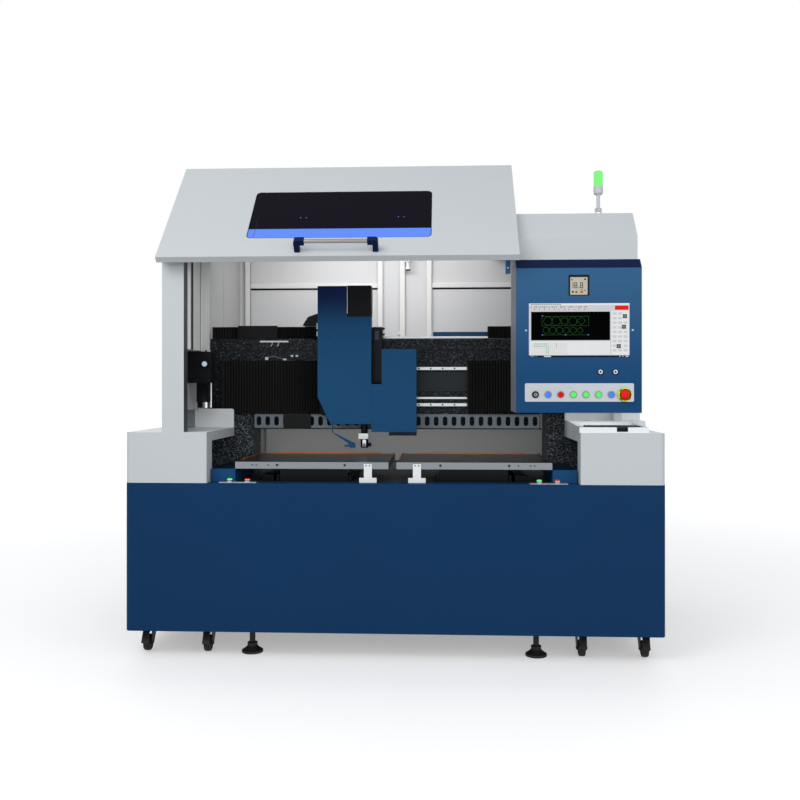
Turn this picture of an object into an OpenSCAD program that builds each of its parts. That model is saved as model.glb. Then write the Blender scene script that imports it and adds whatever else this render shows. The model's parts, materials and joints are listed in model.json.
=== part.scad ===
// Picosecond laser cutting machine: a granite gantry and two shuttle tables in an open-fronted
// enclosure, on a wheeled base cabinet, with a lift-up hood and a control cabinet on the right.
// Millimetres, +Z up, +X to the operator's right, +Y towards the back of the machine.
// The origin is on the floor, in the middle of the machine's width and depth.

/* [Base cabinet] */
// Width of the base cabinet
base_w = 2400; // [2340:10:2600]
// Depth of the base cabinet
base_d = 1400; // [1400:10:1600]
// Height of the base cabinet's panels
base_h = 665; // [620:5:720]
// Gap between the floor and the base cabinet
floor_gap = 120; // [116:1:140]
// Radius of the cabinet's upright front corners
base_round = 24; // [10:1:40]
// Sheet thickness of the cabinet's panels
skin = 4; // [2:0.5:6]
// Width of the rim around the cabinet's top
rim_w = 100; // [60:5:104]
// Number of louvres in each rear panel
louvre_count = 9; // [4:1:12]

/* [Base frame] */
// Side of the square frame tubes
tube = 80; // [60:5:80]
// Wall of the square frame tubes
tube_wall = 5; // [3:0.5:8]
// Distance of the intermediate frame members from the middle
frame_bay = 575; // [500:5:580]

/* [Levelling feet and casters] */
// Distance of the levelling feet from the middle
foot_x = 647; // [620:1:700]
// Distance of the feet's centres from the cabinet's front and back
foot_inset = 118; // [116:1:140]
// Diameter of a levelling pad
pad_d = 98; // [80:1:110]
// Diameter of a foot's threaded stem
stem_d = 26; // [20:1:30]
// Distance of the inner casters from the middle
caster_in_x = 850; // [830:5:900]
// Distance of the outer casters from the cabinet's sides
caster_side = 70; // [70:5:140]
// Distance of the casters' swivel axes from the cabinet's front and back
caster_inset = 138; // [138:1:160]
// Diameter of a caster's wheel
wheel_d = 75; // [60:1:80]
// Width of a caster's wheel
wheel_w = 32; // [24:1:40]
// Trail between a caster's swivel axis and its axle
caster_trail = 26; // [15:1:35]
// Height of the wheels above the floor while the feet carry the machine
wheel_lift = 3; // [1:0.5:8]

/* [Granite] */
// Distance of the granite bed from the cabinet's sides
bed_side = 220; // [200:5:230]
// Distance of the granite bed from the cabinet's back
bed_back = 70; // [60:5:110]
// Thickness of the granite bed
bed_t = 180; // [120:5:220]
// Depth of the bed's top below the cabinet's rim
bed_drop = 5; // [2:1:12]
// Distance of the granite bed from the cabinet's front
bed_y = 110; // [106:1:130]
// Distance of the gantry's front face from the cabinet's front
gantry_y = 600; // [600:5:650]
// Depth of the gantry
gantry_d = 200; // [160:5:240]
// Distance of the beam's ends from the cabinet's sides
beam_side = 235; // [230:5:250]
// Width of a gantry leg
leg_w = 219; // [180:1:225]
// Clear height between the bed and the beam
leg_h = 300; // [290:5:330]
// Height of the beam's main body
beam_h = 324; // [320:2:360]
// Height of the beam's projecting cap
cap_h = 59; // [40:1:80]
// Overhang of the cap past the beam's front face
cap_lip = 8; // [4:1:12]

/* [Gantry axis] */
// Width of a guide rail
rail_w = 17; // [12:1:20]
// Height of a guide rail above the granite
rail_h = 20; // [16:1:22]
// Distance from the beam's underside to the lower rail's centre
rail_low = 46; // [40:1:60]
// Distance between the two guide rails' centres
rail_gap = 183; // [160:1:200]
// Height of the motor's magnet plate
magnet_h = 99; // [60:1:110]
// Pitch of the bolts along the rails
rail_bolt_pitch = 60; // [40:1:80]
// Thickness of the folded bellows
bellows_t = 58; // [50:1:62]
// Height of the front bellows
bellows_h = 265; // [250:1:280]
// Height of the bellows on top of the beam
top_bellows_h = 61; // [50:1:70]
// Pitch of the bellows' folds
fold_pitch = 14; // [10:1:20]
// Depth of a bellows fold
fold_depth = 7; // [4:1:9]
// Left end of the right-hand bellows
right_bellows_x = 347; // [340:1:380]

/* [Energy chain] */
// Height of a chain link
link_h = 71; // [60:1:71]
// Pitch of the chain links
link_pitch = 45; // [40:1:50]
// Depth of the chain
chain_d = 60; // [40:1:62]
// Distance of the chain from the gantry's left leg
chain_side = 15; // [10:1:40]

/* [Carriage and heads] */
// Left end of the carriage plate
carriage_x = -388; // [-390:1:-380]
// Width of the carriage plate
carriage_w = 480; // [470:1:500]
// Thickness of the carriage plate
carriage_t = 22; // [16:1:24]
// Distance of the head covers' front faces from the cabinet's front
head_y = 440; // [430:1:445]
// Height of the cutting head cover's lower edge above the rim
head_rise = 248; // [240:1:255]
// Height of the cutting head cover
head_h = 680; // [640:1:700]
// Width of the cutting head cover
head_w = 265; // [262:1:266]
// Left edge of the cutting head cover
head_x = -392; // [-394:1:-390]
// Width of the cover's narrow upper part
head_top_w = 145; // [140:1:146]
// Height of the notch beside the narrow upper part
head_notch_h = 151; // [140:1:156]
// Size of the cut corner at the cover's lower left
head_chamfer_x = 64; // [40:1:70]
// Height of the cut corner at the cover's lower left
head_chamfer_z = 133; // [100:1:150]
// Thickness of the head covers' sheet
cover_t = 3; // [2:0.5:4]
// Height of the vision head cover's lower edge above the rim
vision_rise = 209; // [200:1:215]
// Height of the vision head cover
vision_h = 408; // [400:1:420]
// Width of the vision head cover
vision_w = 222; // [220:1:230]
// Diameter of the cutting nozzle's barrel
nozzle_d = 40; // [30:1:42]
// Length of the cutting nozzle's barrel
nozzle_h = 44; // [38:1:44]

/* [Tables] */
// Distance of a table from the gantry's leg
table_side = 34; // [32:1:48]
// Depth of a table
table_d = 565; // [540:1:570]
// Thickness of a table
table_t = 31; // [24:1:36]
// Gap between the two tables
table_gap = 36; // [30:1:50]
// Distance of the tables' front edges from the cabinet's front
table_y = 50; // [46:1:60]
// Height of the tables' tops above the cabinet's rim
table_rise = 92; // [90:1:96]
// Width of a table's drive stage
stage_w = 313; // [280:1:330]
// Distance of a table's drive stage from the cabinet's back
stage_back = 190; // [170:5:210]
// Height of a drive stage's base above the bed
stage_h = 40; // [34:1:44]

/* [Pedestals] */
// Width of a pedestal
ped_w = 368; // [360:1:370]
// Height of a pedestal above the base cabinet
ped_h = 227; // [215:1:235]
// Depth of a pedestal's closed front part
ped_front_d = 95; // [90:1:110]
// Thickness of a pedestal's top slab
slab_t = 42; // [30:1:50]
// Thickness of a pedestal's outer wall
ped_side_t = 40; // [30:1:45]
// Height of the leg covers above the pedestals
leg_cover_h = 94; // [60:1:100]
// Thickness of the leg covers
leg_cover_t = 12; // [8:1:12]
// Inset of the pedestals from the base cabinet's sides
ped_inset = 2; // [0:1:4]

/* [Keyboard console] */
// Width of the keyboard console
console_w = 306; // [290:1:310]
// Depth of the keyboard console
console_d = 358; // [330:1:365]
// Distance of the console from the pedestal's front
console_y = 40; // [30:1:45]
// Height of the console's front edge
console_front_h = 24; // [20:1:30]
// Height of the console's rear edge and of the step behind it
console_back_h = 39; // [34:1:50]
// Width of the console's side rims
console_rim = 22; // [16:1:30]
// Width of the finger notch in the console's front
notch_w = 50; // [40:1:60]

/* [Enclosure] */
// Distance of the enclosure's left side from the cabinet's side
left_side = 168; // [166:1:170]
// Thickness of the enclosure's left wall
left_t = 47; // [40:1:50]
// Width of the left front column
column_w = 99; // [94:1:104]
// Depth of the panelled pillar behind the left column
pillar_d = 426; // [400:1:430]
// Width of the panelled pillar
pillar_w = 65; // [62:1:68]
// Height of the pillar's lower edge above the rim
pillar_rise = 601; // [595:1:615]
// Thickness of the rear wall
rear_t = 50; // [40:1:50]
// Height of the roof above the rim
roof_rise = 1477; // [1455:1:1477]
// Thickness of the roof
roof_t = 40; // [30:1:50]
// Distance of the partition's left face from the middle
partition_x = 512; // [505:1:515]
// Thickness of the partition
partition_t = 47; // [40:1:50]

/* [Right housing] */
// Distance of the housing's right side from the cabinet's side
right_side = 105; // [100:1:106]
// Thickness of the housing's panels
housing_t = 38; // [30:1:40]
// Distance of the housing's upright front from the cabinet's front
housing_y = 88; // [84:1:92]
// Height of the fold between the housing's front and its slope above the rim
housing_fold_rise = 1106; // [1095:1:1115]
// Height of the housing's roof above the rim
housing_roof_rise = 1228; // [1215:1:1235]
// Horizontal depth of the housing's slope
housing_slope_d = 106; // [100:1:112]

/* [Control cabinet] */
// Width of the control cabinet
control_w = 547; // [545:1:547]
// Height of the control cabinet's lower edge above the rim
control_rise = 316; // [310:1:320]
// Height of the control cabinet's upright front
control_h = 636; // [630:1:640]
// Depth of the control cabinet
control_d = 300; // [280:1:300]
// Horizontal depth of the slope at the control panel's top
panel_slope_d = 36; // [30:1:40]
// Height of the slope at the control panel's top
panel_slope_h = 42; // [38:1:44]
// Thickness of the blue control panel
panel_t = 6; // [4:1:8]
// Width of the monitor's screen
monitor_w = 438; // [420:1:440]
// Height of the monitor's screen
monitor_h = 237; // [230:1:240]
// Depth of the monitor
monitor_d = 45; // [30:1:60]
// Side of the square temperature display
display_w = 90; // [80:1:92]
// Width of the button plate
plate_w = 474; // [470:1:480]
// Height of the button plate
plate_h = 81; // [76:1:86]
// Thickness of the button plate
plate_t = 3; // [2:0.5:4]
// Pitch of the controls along the button plate
button_pitch = 55; // [54:1:56]
// Diameter of a push-button's head
button_d = 24; // [20:1:25]
// Diameter of a push-button's bezel
bezel_d = 29; // [28:1:32]
// Travel of a push-button
button_travel = 4; // [3:0.5:5]
// Outer diameter of the emergency stop's guard
guard_d = 61; // [58:1:62]
// Diameter of the emergency stop's mushroom head
mushroom_d = 40; // [36:1:42]

/* [Hood] */
// Seam between the hood's right edge and the housing
hood_seam = 2; // [1:1:6]
// Length of the hood along its slope
hood_l = 702; // [700:1:704]
// Thickness of the hood's edges
hood_t = 30; // [24:1:32]
// Slope of the hood from level, in degrees
hood_tilt = 45.9; // [45.5:0.1:46]
// Overhang of the hood's lower edge in front of the base cabinet
hood_out = 91; // [88:1:94]
// Height of the hood's lower outer edge above the rim
hood_rise = 999; // [999:1:1003]
// Width of the hood's window
window_w = 829; // [780:1:860]
// Height of the window along the slope
window_l = 360; // [340:1:380]
// Distance of the window from the hood's left edge
window_x = 382; // [370:1:400]
// Distance of the window from the hood's lower edge
window_s = 131; // [125:1:140]
// Corner radius of the window
window_r = 22; // [10:1:30]
// Thickness of the window's pane
pane_t = 6; // [4:1:8]
// Length of the hood's handle
handle_w = 368; // [340:1:380]
// Height of the handle above the hood
handle_h = 62; // [50:1:70]
// Diameter of the handle's bar
bar_d = 18; // [14:1:20]
// Distance of the handle's feet from the hood's lower edge
handle_s = 25; // [20:1:30]

/* [Signal lamp] */
// Diameter of the lamp's lens
lens_d = 44; // [40:1:48]
// Height of the lamp's lens
lens_h = 73; // [60:1:80]
// Distance of the lamp from the housing's right side
lamp_side = 139; // [100:1:200]
// Distance of the lamp from the cabinet's front
lamp_y = 300; // [290:1:340]

/* [Hidden] */
$fn = 48;
eps = 1;              // overlap of cutting tools past the faces they cut
gap = 0.3;            // clearance between faces that pass each other
fit = 0.05;           // radial clearance of pins in their bores

// Heights above the floor
rim_z = floor_gap + base_h;
bed_z = rim_z - bed_drop;
ped_z = rim_z + ped_h;
beam_z = bed_z + leg_h;
cap_z = beam_z + beam_h;
beam_top_z = cap_z + cap_h;
table_z = rim_z + table_rise;
leg_cover_z = ped_z + leg_cover_h;
head_z = rim_z + head_rise;
vision_z = rim_z + vision_rise;
pillar_z = rim_z + pillar_rise;
roof_z = rim_z + roof_rise;
housing_fold_z = rim_z + housing_fold_rise;
housing_roof_z = rim_z + housing_roof_rise;
control_z = rim_z + control_rise;
hood_z = rim_z + hood_rise;
control_top_z = control_z + control_h + panel_slope_h;

// Positions across the machine, measured from its middle
left_x = base_w / 2 - left_side;
right_x = base_w / 2 - right_side;
pillar_x = left_x - left_t - pillar_w;
caster_out_x = base_w / 2 - caster_side;
lamp_x = right_x - lamp_side;
bed_w = base_w - 2 * bed_side;
beam_w = base_w - 2 * beam_side;
leg_in_x = beam_w / 2 - leg_w;
chain_x = -leg_in_x + chain_side;
link_count = floor((2 * leg_in_x - chain_side - 35) / link_pitch);
table_w = leg_in_x - table_side - table_gap / 2;

// Plan positions, measured from the cabinet's front face
bed_d = base_d - bed_y - bed_back;
stage_y = bed_y + 20;
stage_d = base_d - stage_back - stage_y;
leg_cover_y = gantry_y - bellows_t - leg_cover_t - 2;
ped_out_x = base_w / 2 - ped_inset;
ped_in_x = ped_out_x - ped_w;
control_x = right_x - control_w;
hood_x = -left_x - 3;
hood_w = partition_x + partition_t - hood_seam - hood_x;
lower_rail_z = beam_z + rail_low;
upper_rail_z = lower_rail_z + rail_gap;
bellows_z = beam_z + 3;
bellows_end = 66;
carriage_back = rail_h + 4;
carriage_y = gantry_y - carriage_back - carriage_t;
carriage_z = lower_rail_z - 26;
carriage_h = rail_gap + 52;
table_x = table_gap / 2;
stage_x = table_x + table_w / 2;

// The hood's slope, and the frame of its outer face
slope_y = cos(hood_tilt);
slope_z = sin(hood_tilt);
hinge_r = 9;
hinge_back = 14;
hinge_drop = hood_t - hinge_r - 1;
hinge_s = hood_l + hinge_back;
hinge_y = -hood_out + slope_y * hinge_s + slope_z * hinge_drop;
hinge_z = hood_z + slope_z * hinge_s - slope_y * hinge_drop;
hinge_pin_d = 8;
hinge_in = 132;
hinge_mid = (partition_x - left_x + 40) / 2;
hinge_xs = [hinge_in - left_x, hinge_mid, partition_x - hinge_in + 40];

// The middle of the machine's depth lies over the origin
front_reach = hood_out - slope_y * handle_s + slope_z * handle_h;
y0 = -(base_d - front_reach) / 2;

// Height of the hood's inner face, a seam below it, at a distance y behind the cabinet's front
seam = 2;
function under_hood(y) =
    hood_z - hood_t / slope_y - seam / slope_y + (y + hood_out) * slope_z / slope_y;
function under_hood_y(z) =
    -hood_out + (z - hood_z + hood_t / slope_y + seam / slope_y) * slope_y / slope_z;

// Centre of the i-th control on the button plate
plate_x = right_x - 35 - plate_w;
plate_z = control_z + 49;
button_z = plate_z + plate_h * 0.38;
function button_x(i) = plate_x + 46 + i * button_pitch;
estop_x = plate_x + plate_w - 41;

// Places a child that is drawn from the cabinet's front face
module at(x, y, z) translate([x, y0 + y, z]) children();

// A block between two corners
module block(x, y, z) at(x[0], y[0], z[0]) cube([x[1] - x[0], y[1] - y[0], z[1] - z[0]]);

// Extrudes a side view, drawn as [y, z], from x0 to x1
module side_view(x0, x1) at(x0, 0, 0) rotate([90, 0, 90]) linear_extrude(x1 - x0) children();

// Extrudes a front view, drawn as [x, z], from y_front to y_back
module front_view(y_front, y_back)
    at(0, y_back, 0) rotate([90, 0, 0]) linear_extrude(y_back - y_front) children();

// A rod along X, Y or Z
module rod_x(d, x0, x1, y, z) at(x0, y, z) rotate([0, 90, 0]) cylinder(d = d, h = x1 - x0);
module rod_y(d, x, y_front, y_back, z)
    at(x, y_back, z) rotate([90, 0, 0]) cylinder(d = d, h = y_back - y_front);
module rod_z(d, x, y, z0, z1) at(x, y, z0) cylinder(d = d, h = z1 - z0);

// A rectangle with true round corners, drawn from its lower left corner
module round_rect(w, h, r) {
    translate([r, 0]) square([w - 2 * r, h]);
    translate([0, r]) square([w, h - 2 * r]);
    for (x = [r, w - r], y = [r, h - r])
        translate([x, y]) circle(r);
}

// Works in the hood's own frame: +Y runs up the slope and +Z out of the hood's face
module on_hood() at(0, -hood_out, hood_z) rotate([hood_tilt, 0, 0]) children();

// ---------------------------------------------------------------- base

// The cabinet's plan, smaller all round by inset, with round front corners
module base_plan(inset) {
    r = base_round - inset;
    w = base_w / 2 - inset;
    translate([-w + r, inset]) square([2 * (w - r), base_d - 2 * inset]);
    translate([-w, inset + r]) square([2 * w, base_d - 2 * inset - r]);
    for (x = [-w + r, w - r])
        translate([x, inset + r]) circle(r);
}

module base_cabinet() {
    louvre_w = 300;
    louvre_pitch = 26;
    color("#1c3b61") difference() {
        at(0, 0, floor_gap) linear_extrude(base_h) base_plan(0);
        at(0, 0, floor_gap - eps) linear_extrude(base_h - skin + eps) base_plan(skin);
        block([-base_w / 2 + rim_w, base_w / 2 - rim_w], [rim_w, base_d - rim_w / 2],
              [floor_gap, rim_z + eps]);
        for (side = [-1, 1], i = [0:louvre_count - 1])
            block([side * frame_bay - louvre_w / 2, side * frame_bay + louvre_w / 2],
                  [base_d - skin - eps, base_d + eps],
                  [floor_gap + 180 + i * louvre_pitch, floor_gap + 190 + i * louvre_pitch]);
    }
}

// A square tube along X or Y
module tube_x(x0, x1, y, z) difference() {
    block([x0, x1], [y, y + tube], [z, z + tube]);
    block([x0 - eps, x1 + eps], [y + tube_wall, y + tube - tube_wall],
          [z + tube_wall, z + tube - tube_wall]);
}
module tube_y(x, y_front, y_back, z) difference() {
    block([x, x + tube], [y_front, y_back], [z, z + tube]);
    block([x + tube_wall, x + tube - tube_wall], [y_front - eps, y_back + eps],
          [z + tube_wall, z + tube - tube_wall]);
}
module tube_z(x, y, z0, z1) difference() {
    block([x, x + tube], [y, y + tube], [z0, z1]);
    block([x + tube_wall, x + tube - tube_wall], [y + tube_wall, y + tube - tube_wall],
          [z0 - eps, z1 + eps]);
}

// Places a child at each levelling foot, from its index
foot_places = [
    [-foot_x, foot_inset], [foot_x, foot_inset],
    [-foot_x, base_d - foot_inset], [foot_x, base_d - foot_inset]
];
foot_plate_w = 196;
foot_plate_t = 10;
foot_nut_h = 40;

module foot_seat(p) {
    toward_middle = p[0] > 0 ? -1 : 1;
    plate_mid = p[0] + toward_middle * (foot_plate_w / 2 - pad_d / 2);
    difference() {
        union() {
            block([plate_mid - foot_plate_w / 2, plate_mid + foot_plate_w / 2],
                  [p[1] - 70, p[1] + 70], [floor_gap - foot_plate_t, floor_gap]);
            rod_z(46, p[0], p[1], floor_gap - eps / 2, floor_gap + foot_nut_h);
        }
        rod_z(stem_d + 2 * fit, p[0], p[1], floor_gap - foot_plate_t - eps,
              floor_gap + foot_nut_h + eps);
    }
}

// Swivel axes of the front casters, and of the two rear casters
caster_places = [
    [-caster_out_x, caster_inset], [-caster_in_x, caster_inset],
    [caster_in_x, caster_inset], [caster_out_x, caster_inset]
];
rear_caster_places = [[-caster_out_x, base_d - caster_inset], [caster_out_x, base_d - caster_inset]];
caster_plate_t = 6;
caster_top = floor_gap - caster_plate_t;
race_t = 10;
kingpin_d = 16;
axle_d = 12;
axle_z = wheel_lift + wheel_d / 2;

module caster_plate(p) difference() {
    block([p[0] - 50, p[0] + 50], [p[1] - 60, p[1] + 60], [caster_top, floor_gap]);
    rod_z(kingpin_d + 2 * fit, p[0], p[1], caster_top - eps, floor_gap + eps);
}

module base_frame() {
    side = base_w / 2 - skin;
    back = base_d - skin;
    top = bed_z - bed_t - tube;
    color("#26282b") {
        for (z = [floor_gap, top]) {
            tube_x(-side + base_round, side - base_round, skin, z);
            tube_x(-side, side, back - tube, z);
            for (x = [-side, -frame_bay - tube / 2, frame_bay - tube / 2, side - tube])
                tube_y(x, skin + tube, back - tube, z);
        }
        for (x = [-side + base_round, -frame_bay - tube / 2, frame_bay - tube / 2,
                  side - base_round - tube], y = [skin, back - tube])
            tube_z(x, y, floor_gap + tube, top);
        for (p = foot_places)
            foot_seat(p);
        for (p = caster_places)
            caster_plate(p);
        for (p = rear_caster_places) {
            caster_plate(p);
            caster_fork(p);
            caster_wheel(p);
        }
    }
}

module levelling_foot(i) {
    p = foot_places[i];
    nut_z = floor_gap - foot_plate_t - 12 - gap;
    color("#17181a") {
        at(p[0], p[1], 0) rotate_extrude() polygon([
            [0, 0], [pad_d / 2 - 2, 0], [pad_d / 2, 3], [pad_d / 2 - 1, 11], [pad_d * 0.36, 19],
            [pad_d * 0.27, 27], [pad_d * 0.235, 31], [pad_d * 0.235, 46], [stem_d / 2, 48],
            [stem_d / 2, floor_gap + foot_nut_h - 2], [0, floor_gap + foot_nut_h - 2]
        ]);
        at(p[0], p[1], nut_z) linear_extrude(12) difference() {
            circle(d = 46, $fn = 6);
            circle(d = stem_d - 2);
        }
    }
}

module caster_fork(p) {
    arm_x = wheel_w / 2 + 2.5;
    arm_t = 4;
    crown = caster_top - gap - race_t;
    y = p[1];
    color("#17181a") {
        rod_z(56, p[0], y, crown, crown + race_t);
        rod_z(kingpin_d, p[0], y, crown + race_t - eps, floor_gap - gap);
        block([p[0] - arm_x - arm_t, p[0] + arm_x + arm_t], [y - 34, y + 28], [crown - 6, crown]);
        for (x = [p[0] - arm_x - arm_t, p[0] + arm_x])
            side_view(x, x + arm_t) polygon([
                [y - 34, crown - 5], [y + 28, crown - 5], [y + 18, crown - 26],
                [y - caster_trail + 13, axle_z - 8], [y - caster_trail - 13, axle_z - 8],
                [y - caster_trail - 14, axle_z + 12]
            ]);
        rod_x(axle_d, p[0] - arm_x - arm_t - 3, p[0] + arm_x + arm_t + 3, y - caster_trail, axle_z);
        side_view(p[0] - 15, p[0] + 15) polygon([
            [y - 30, crown - 6], [y - 56, crown - 13], [y - 73, axle_z + 20],
            [y - 80, axle_z + 8], [y - 86, axle_z + 10], [y - 78, axle_z + 24],
            [y - 60, crown - 8], [y - 30, crown]
        ]);
    }
}

module caster_wheel(p) {
    r = wheel_d / 2;
    w = wheel_w / 2;
    bore = axle_d / 2 + fit;
    color("#0f1011") at(p[0], p[1] - caster_trail, axle_z) rotate([0, 90, 0]) rotate_extrude()
        polygon([
            [bore, -w], [11, -w], [13, -w + 5], [r - 11, -w + 5], [r - 9, -w + 1], [r - 3, -w + 2],
            [r - 0.5, -w + 6], [r, 0], [r - 0.5, w - 6], [r - 3, w - 2], [r - 9, w - 1],
            [r - 11, w - 5], [13, w - 5], [11, w], [bore, w]
        ]);
}

// ---------------------------------------------------------------- granite and drives

module granite_bed() {
    chamfer = 6;
    top = bed_z;
    color("#26282b") side_view(-bed_w / 2, bed_w / 2) polygon([
        [bed_y, top - bed_t], [bed_y + bed_d, top - bed_t], [bed_y + bed_d, top - chamfer],
        [bed_y + bed_d - chamfer, top], [bed_y + chamfer, top], [bed_y, top - chamfer]
    ]);
}

module granite_gantry() {
    chamfer = 5;
    back = gantry_y + gantry_d;
    color("#1f2123") {
        side_view(-beam_w / 2, beam_w / 2) polygon([
            [gantry_y, beam_z], [back, beam_z], [back, beam_top_z - chamfer],
            [back - chamfer, beam_top_z], [gantry_y - cap_lip + chamfer, beam_top_z],
            [gantry_y - cap_lip, beam_top_z - chamfer], [gantry_y - cap_lip, cap_z],
            [gantry_y, cap_z]
        ]);
        for (x = [-beam_w / 2, beam_w / 2 - leg_w])
            block([x, x + leg_w], [gantry_y, back], [bed_z, beam_z]);
    }
}

rail_start = bellows_end + 4;

// A guide rail along X with a waist, seated on the granite's front face
module front_rail(z) {
    waist = rail_w * 0.2;
    front = gantry_y - rail_h;
    difference() {
        side_view(-beam_w / 2 + rail_start, beam_w / 2 - 30) polygon([
            [gantry_y, z - rail_w / 2], [gantry_y, z + rail_w / 2],
            [front + rail_h * 0.55, z + rail_w / 2],
            [front + rail_h * 0.4, z + rail_w / 2 - waist],
            [front + rail_h * 0.2, z + rail_w / 2], [front, z + rail_w / 2 - 1],
            [front, z - rail_w / 2 + 1], [front + rail_h * 0.2, z - rail_w / 2],
            [front + rail_h * 0.4, z - rail_w / 2 + waist],
            [front + rail_h * 0.55, z - rail_w / 2]
        ]);
        for (x = [104:rail_bolt_pitch:right_bellows_x - 5])
            rod_y(9, x, front - eps, front + 4, z);
    }
}

module gantry_rails() {
    magnet_z = (lower_rail_z + upper_rail_z - magnet_h) / 2 + 25;
    scale_z = lower_rail_z + 29;
    top_rail_y = gantry_y + 20;
    end = right_bellows_x + 105;
    x0 = -beam_w / 2 + rail_start;
    color("#b9bec2") {
        front_rail(lower_rail_z);
        front_rail(upper_rail_z);
        block([x0, beam_w / 2 - 30], [gantry_y - 6, gantry_y],
              [scale_z, scale_z + 10]);
        block([x0, beam_w / 2 - 30], [gantry_y - 10, gantry_y],
              [magnet_z, magnet_z + magnet_h]);
        block([x0, beam_w / 2 - 30], [top_rail_y, top_rail_y + 20],
              [beam_top_z, beam_top_z + 11]);
        block([right_bellows_x - 172, end], [top_rail_y + 60, top_rail_y + 66],
              [beam_top_z, beam_top_z + 33]);
    }
}

// One chain link seen from the front: a plate with an oval opening
module chain_run(x, count) {
    oval_w = link_pitch * 0.53;
    oval_h = link_h * 0.66;
    difference() {
        union() for (i = [0:count - 1])
            translate([x + i * link_pitch, -link_h / 2]) {
                translate([0, 3]) square([link_pitch, link_h - 6]);
                translate([4, 0]) square([link_pitch - 8, link_h]);
            }
        for (i = [0:count - 1])
            translate([x + (i + 0.5) * link_pitch, 0]) {
                square([oval_w, oval_h - oval_w], center = true);
                for (s = [-1, 1])
                    translate([0, s * (oval_h - oval_w) / 2]) circle(d = oval_w);
            }
    }
}

module energy_chain() {
    z = beam_z - link_h / 2 - 1;
    front = gantry_y - 38;
    back = front + chain_d;
    shelf_z = z - link_h / 2;
    x1 = chain_x + link_count * link_pitch;
    color("#2a2e33") {
        at(0, 0, z) translate([0, front + 5, 0]) rotate([90, 0, 0]) linear_extrude(5)
            chain_run(chain_x, link_count);
        at(0, 0, z) translate([0, back, 0]) rotate([90, 0, 0]) linear_extrude(5)
            chain_run(chain_x, link_count);
        for (s = [0, 1])
            block([chain_x + 2, x1 - 2], [front + 5 - eps / 2, back - 5 + eps / 2],
                  [shelf_z + s * (link_h - 5), shelf_z + 5 + s * (link_h - 5)]);
        side_view(chain_x - 10, x1 + 10) polygon([
            [front - 6, shelf_z], [front - 6, shelf_z - 5], [back + 8, shelf_z - 5],
            [back + 8, beam_z], [back + 3, beam_z], [back + 3, shelf_z]
        ]);
        block([chain_x + 149, chain_x + 289], [front - 5, front], [shelf_z, beam_z - 2]);
        block([chain_x - 93, chain_x + 110], [gantry_y - cap_lip + 1, top_bellows_y - 1],
              [beam_top_z, beam_top_z + top_bellows_h + 5]);
    }
}

// Folded bellows between x0 and x1, drawn as a pleated side wall of depth t
module pleats(x0, x1, t, h) {
    folds = max(2, floor((x1 - x0 - 12) / fold_pitch));
    pitch = (x1 - x0 - 12) / folds;
    linear_extrude(h) polygon(concat(
        [[x1, t], [x0, t], [x0, 0], [x0 + 6, 0]],
        [for (i = [0:folds - 1], s = [0, 1])
            [x0 + 6 + (i + 0.25 + s * 0.5) * pitch, s == 0 ? 1 : fold_depth]],
        [[x1 - 6, 0], [x1, 0]]
    ));
}

bellows_y = gantry_y - bellows_t;
top_bellows_y = gantry_y + 8;
top_bellows_d = 70;

// A bellows along the beam: one over the front rails and one along the beam's top
module bellows(x0, x1, top_x0, top_x1) {
    inner = fold_depth + 4;
    difference() {
        at(0, bellows_y, bellows_z) pleats(x0, x1, bellows_t, bellows_h);
        block([x0 + 6, x1 - 6], [bellows_y + inner, bellows_y + bellows_t + eps],
              [bellows_z - eps, bellows_z + bellows_h - 6]);
        block([x0 - eps, x1 + eps], [gantry_y - rail_h - 5, gantry_y + eps],
              [bellows_z - eps, bellows_z + bellows_h - 6]);
    }
    difference() {
        at(0, top_bellows_y, beam_top_z) pleats(top_x0, top_x1, top_bellows_d, top_bellows_h);
        block([top_x0 - eps, top_x1 + eps], [top_bellows_y + inner, top_bellows_y + 50],
              [beam_top_z - eps, beam_top_z + top_bellows_h - 12]);
    }
}

module left_bellows() {
    x0 = -beam_w / 2 + bellows_end;
    color("#101112") bellows(x0, carriage_x - gap, x0 - 60, carriage_x + 20);
}

module right_bellows() {
    x1 = beam_w / 2 - bellows_end;
    color("#101112") bellows(right_bellows_x, x1, right_bellows_x + 107, x1 + 60);
}

module table_stages() {
    y_front = stage_y;
    color("#202326") for (side = [-1, 1]) {
        mid = side * stage_x;
        block([mid - stage_w / 2, mid + stage_w / 2], [y_front, y_front + stage_d],
              [bed_z, bed_z + stage_h]);
        for (x = [mid - stage_w / 2 + 24, mid + stage_w / 2 - 24])
            block([x - 10, x + 10], [y_front, y_front + stage_d],
                  [bed_z + stage_h, bed_z + stage_h + 14]);
        block([mid - stage_w / 2, mid + stage_w / 2], [y_front - 5, y_front],
              [bed_z, bed_z + stage_h + 20]);
        for (x = [mid - stage_w / 2 - 16, mid + stage_w / 2 + 4])
            block([x, x + 12], [y_front, y_front + 20], [bed_z, bed_z + 34]);
        for (x = [mid + side * (stage_w / 2 + 60)])
            block([x - 28, x + 28], [y_front + 20, y_front + stage_d - 200],
                  [bed_z, bed_z + 30]);
    }
}

module way_covers() {
    depth = 388;
    x_in = table_x + table_w + 2;
    x_out = ped_in_x - 6;
    color("#24507e") for (side = [0, 1]) mirror([side, 0, 0]) difference() {
        block([x_in, x_out], [table_y + 10, table_y + 10 + depth], [rim_z, rim_z + 60]);
        block([x_in + 2, x_out - 2], [table_y + 12, table_y + 8 + depth],
              [rim_z - eps, rim_z + 58]);
    }
}

// ---------------------------------------------------------------- pedestals

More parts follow.
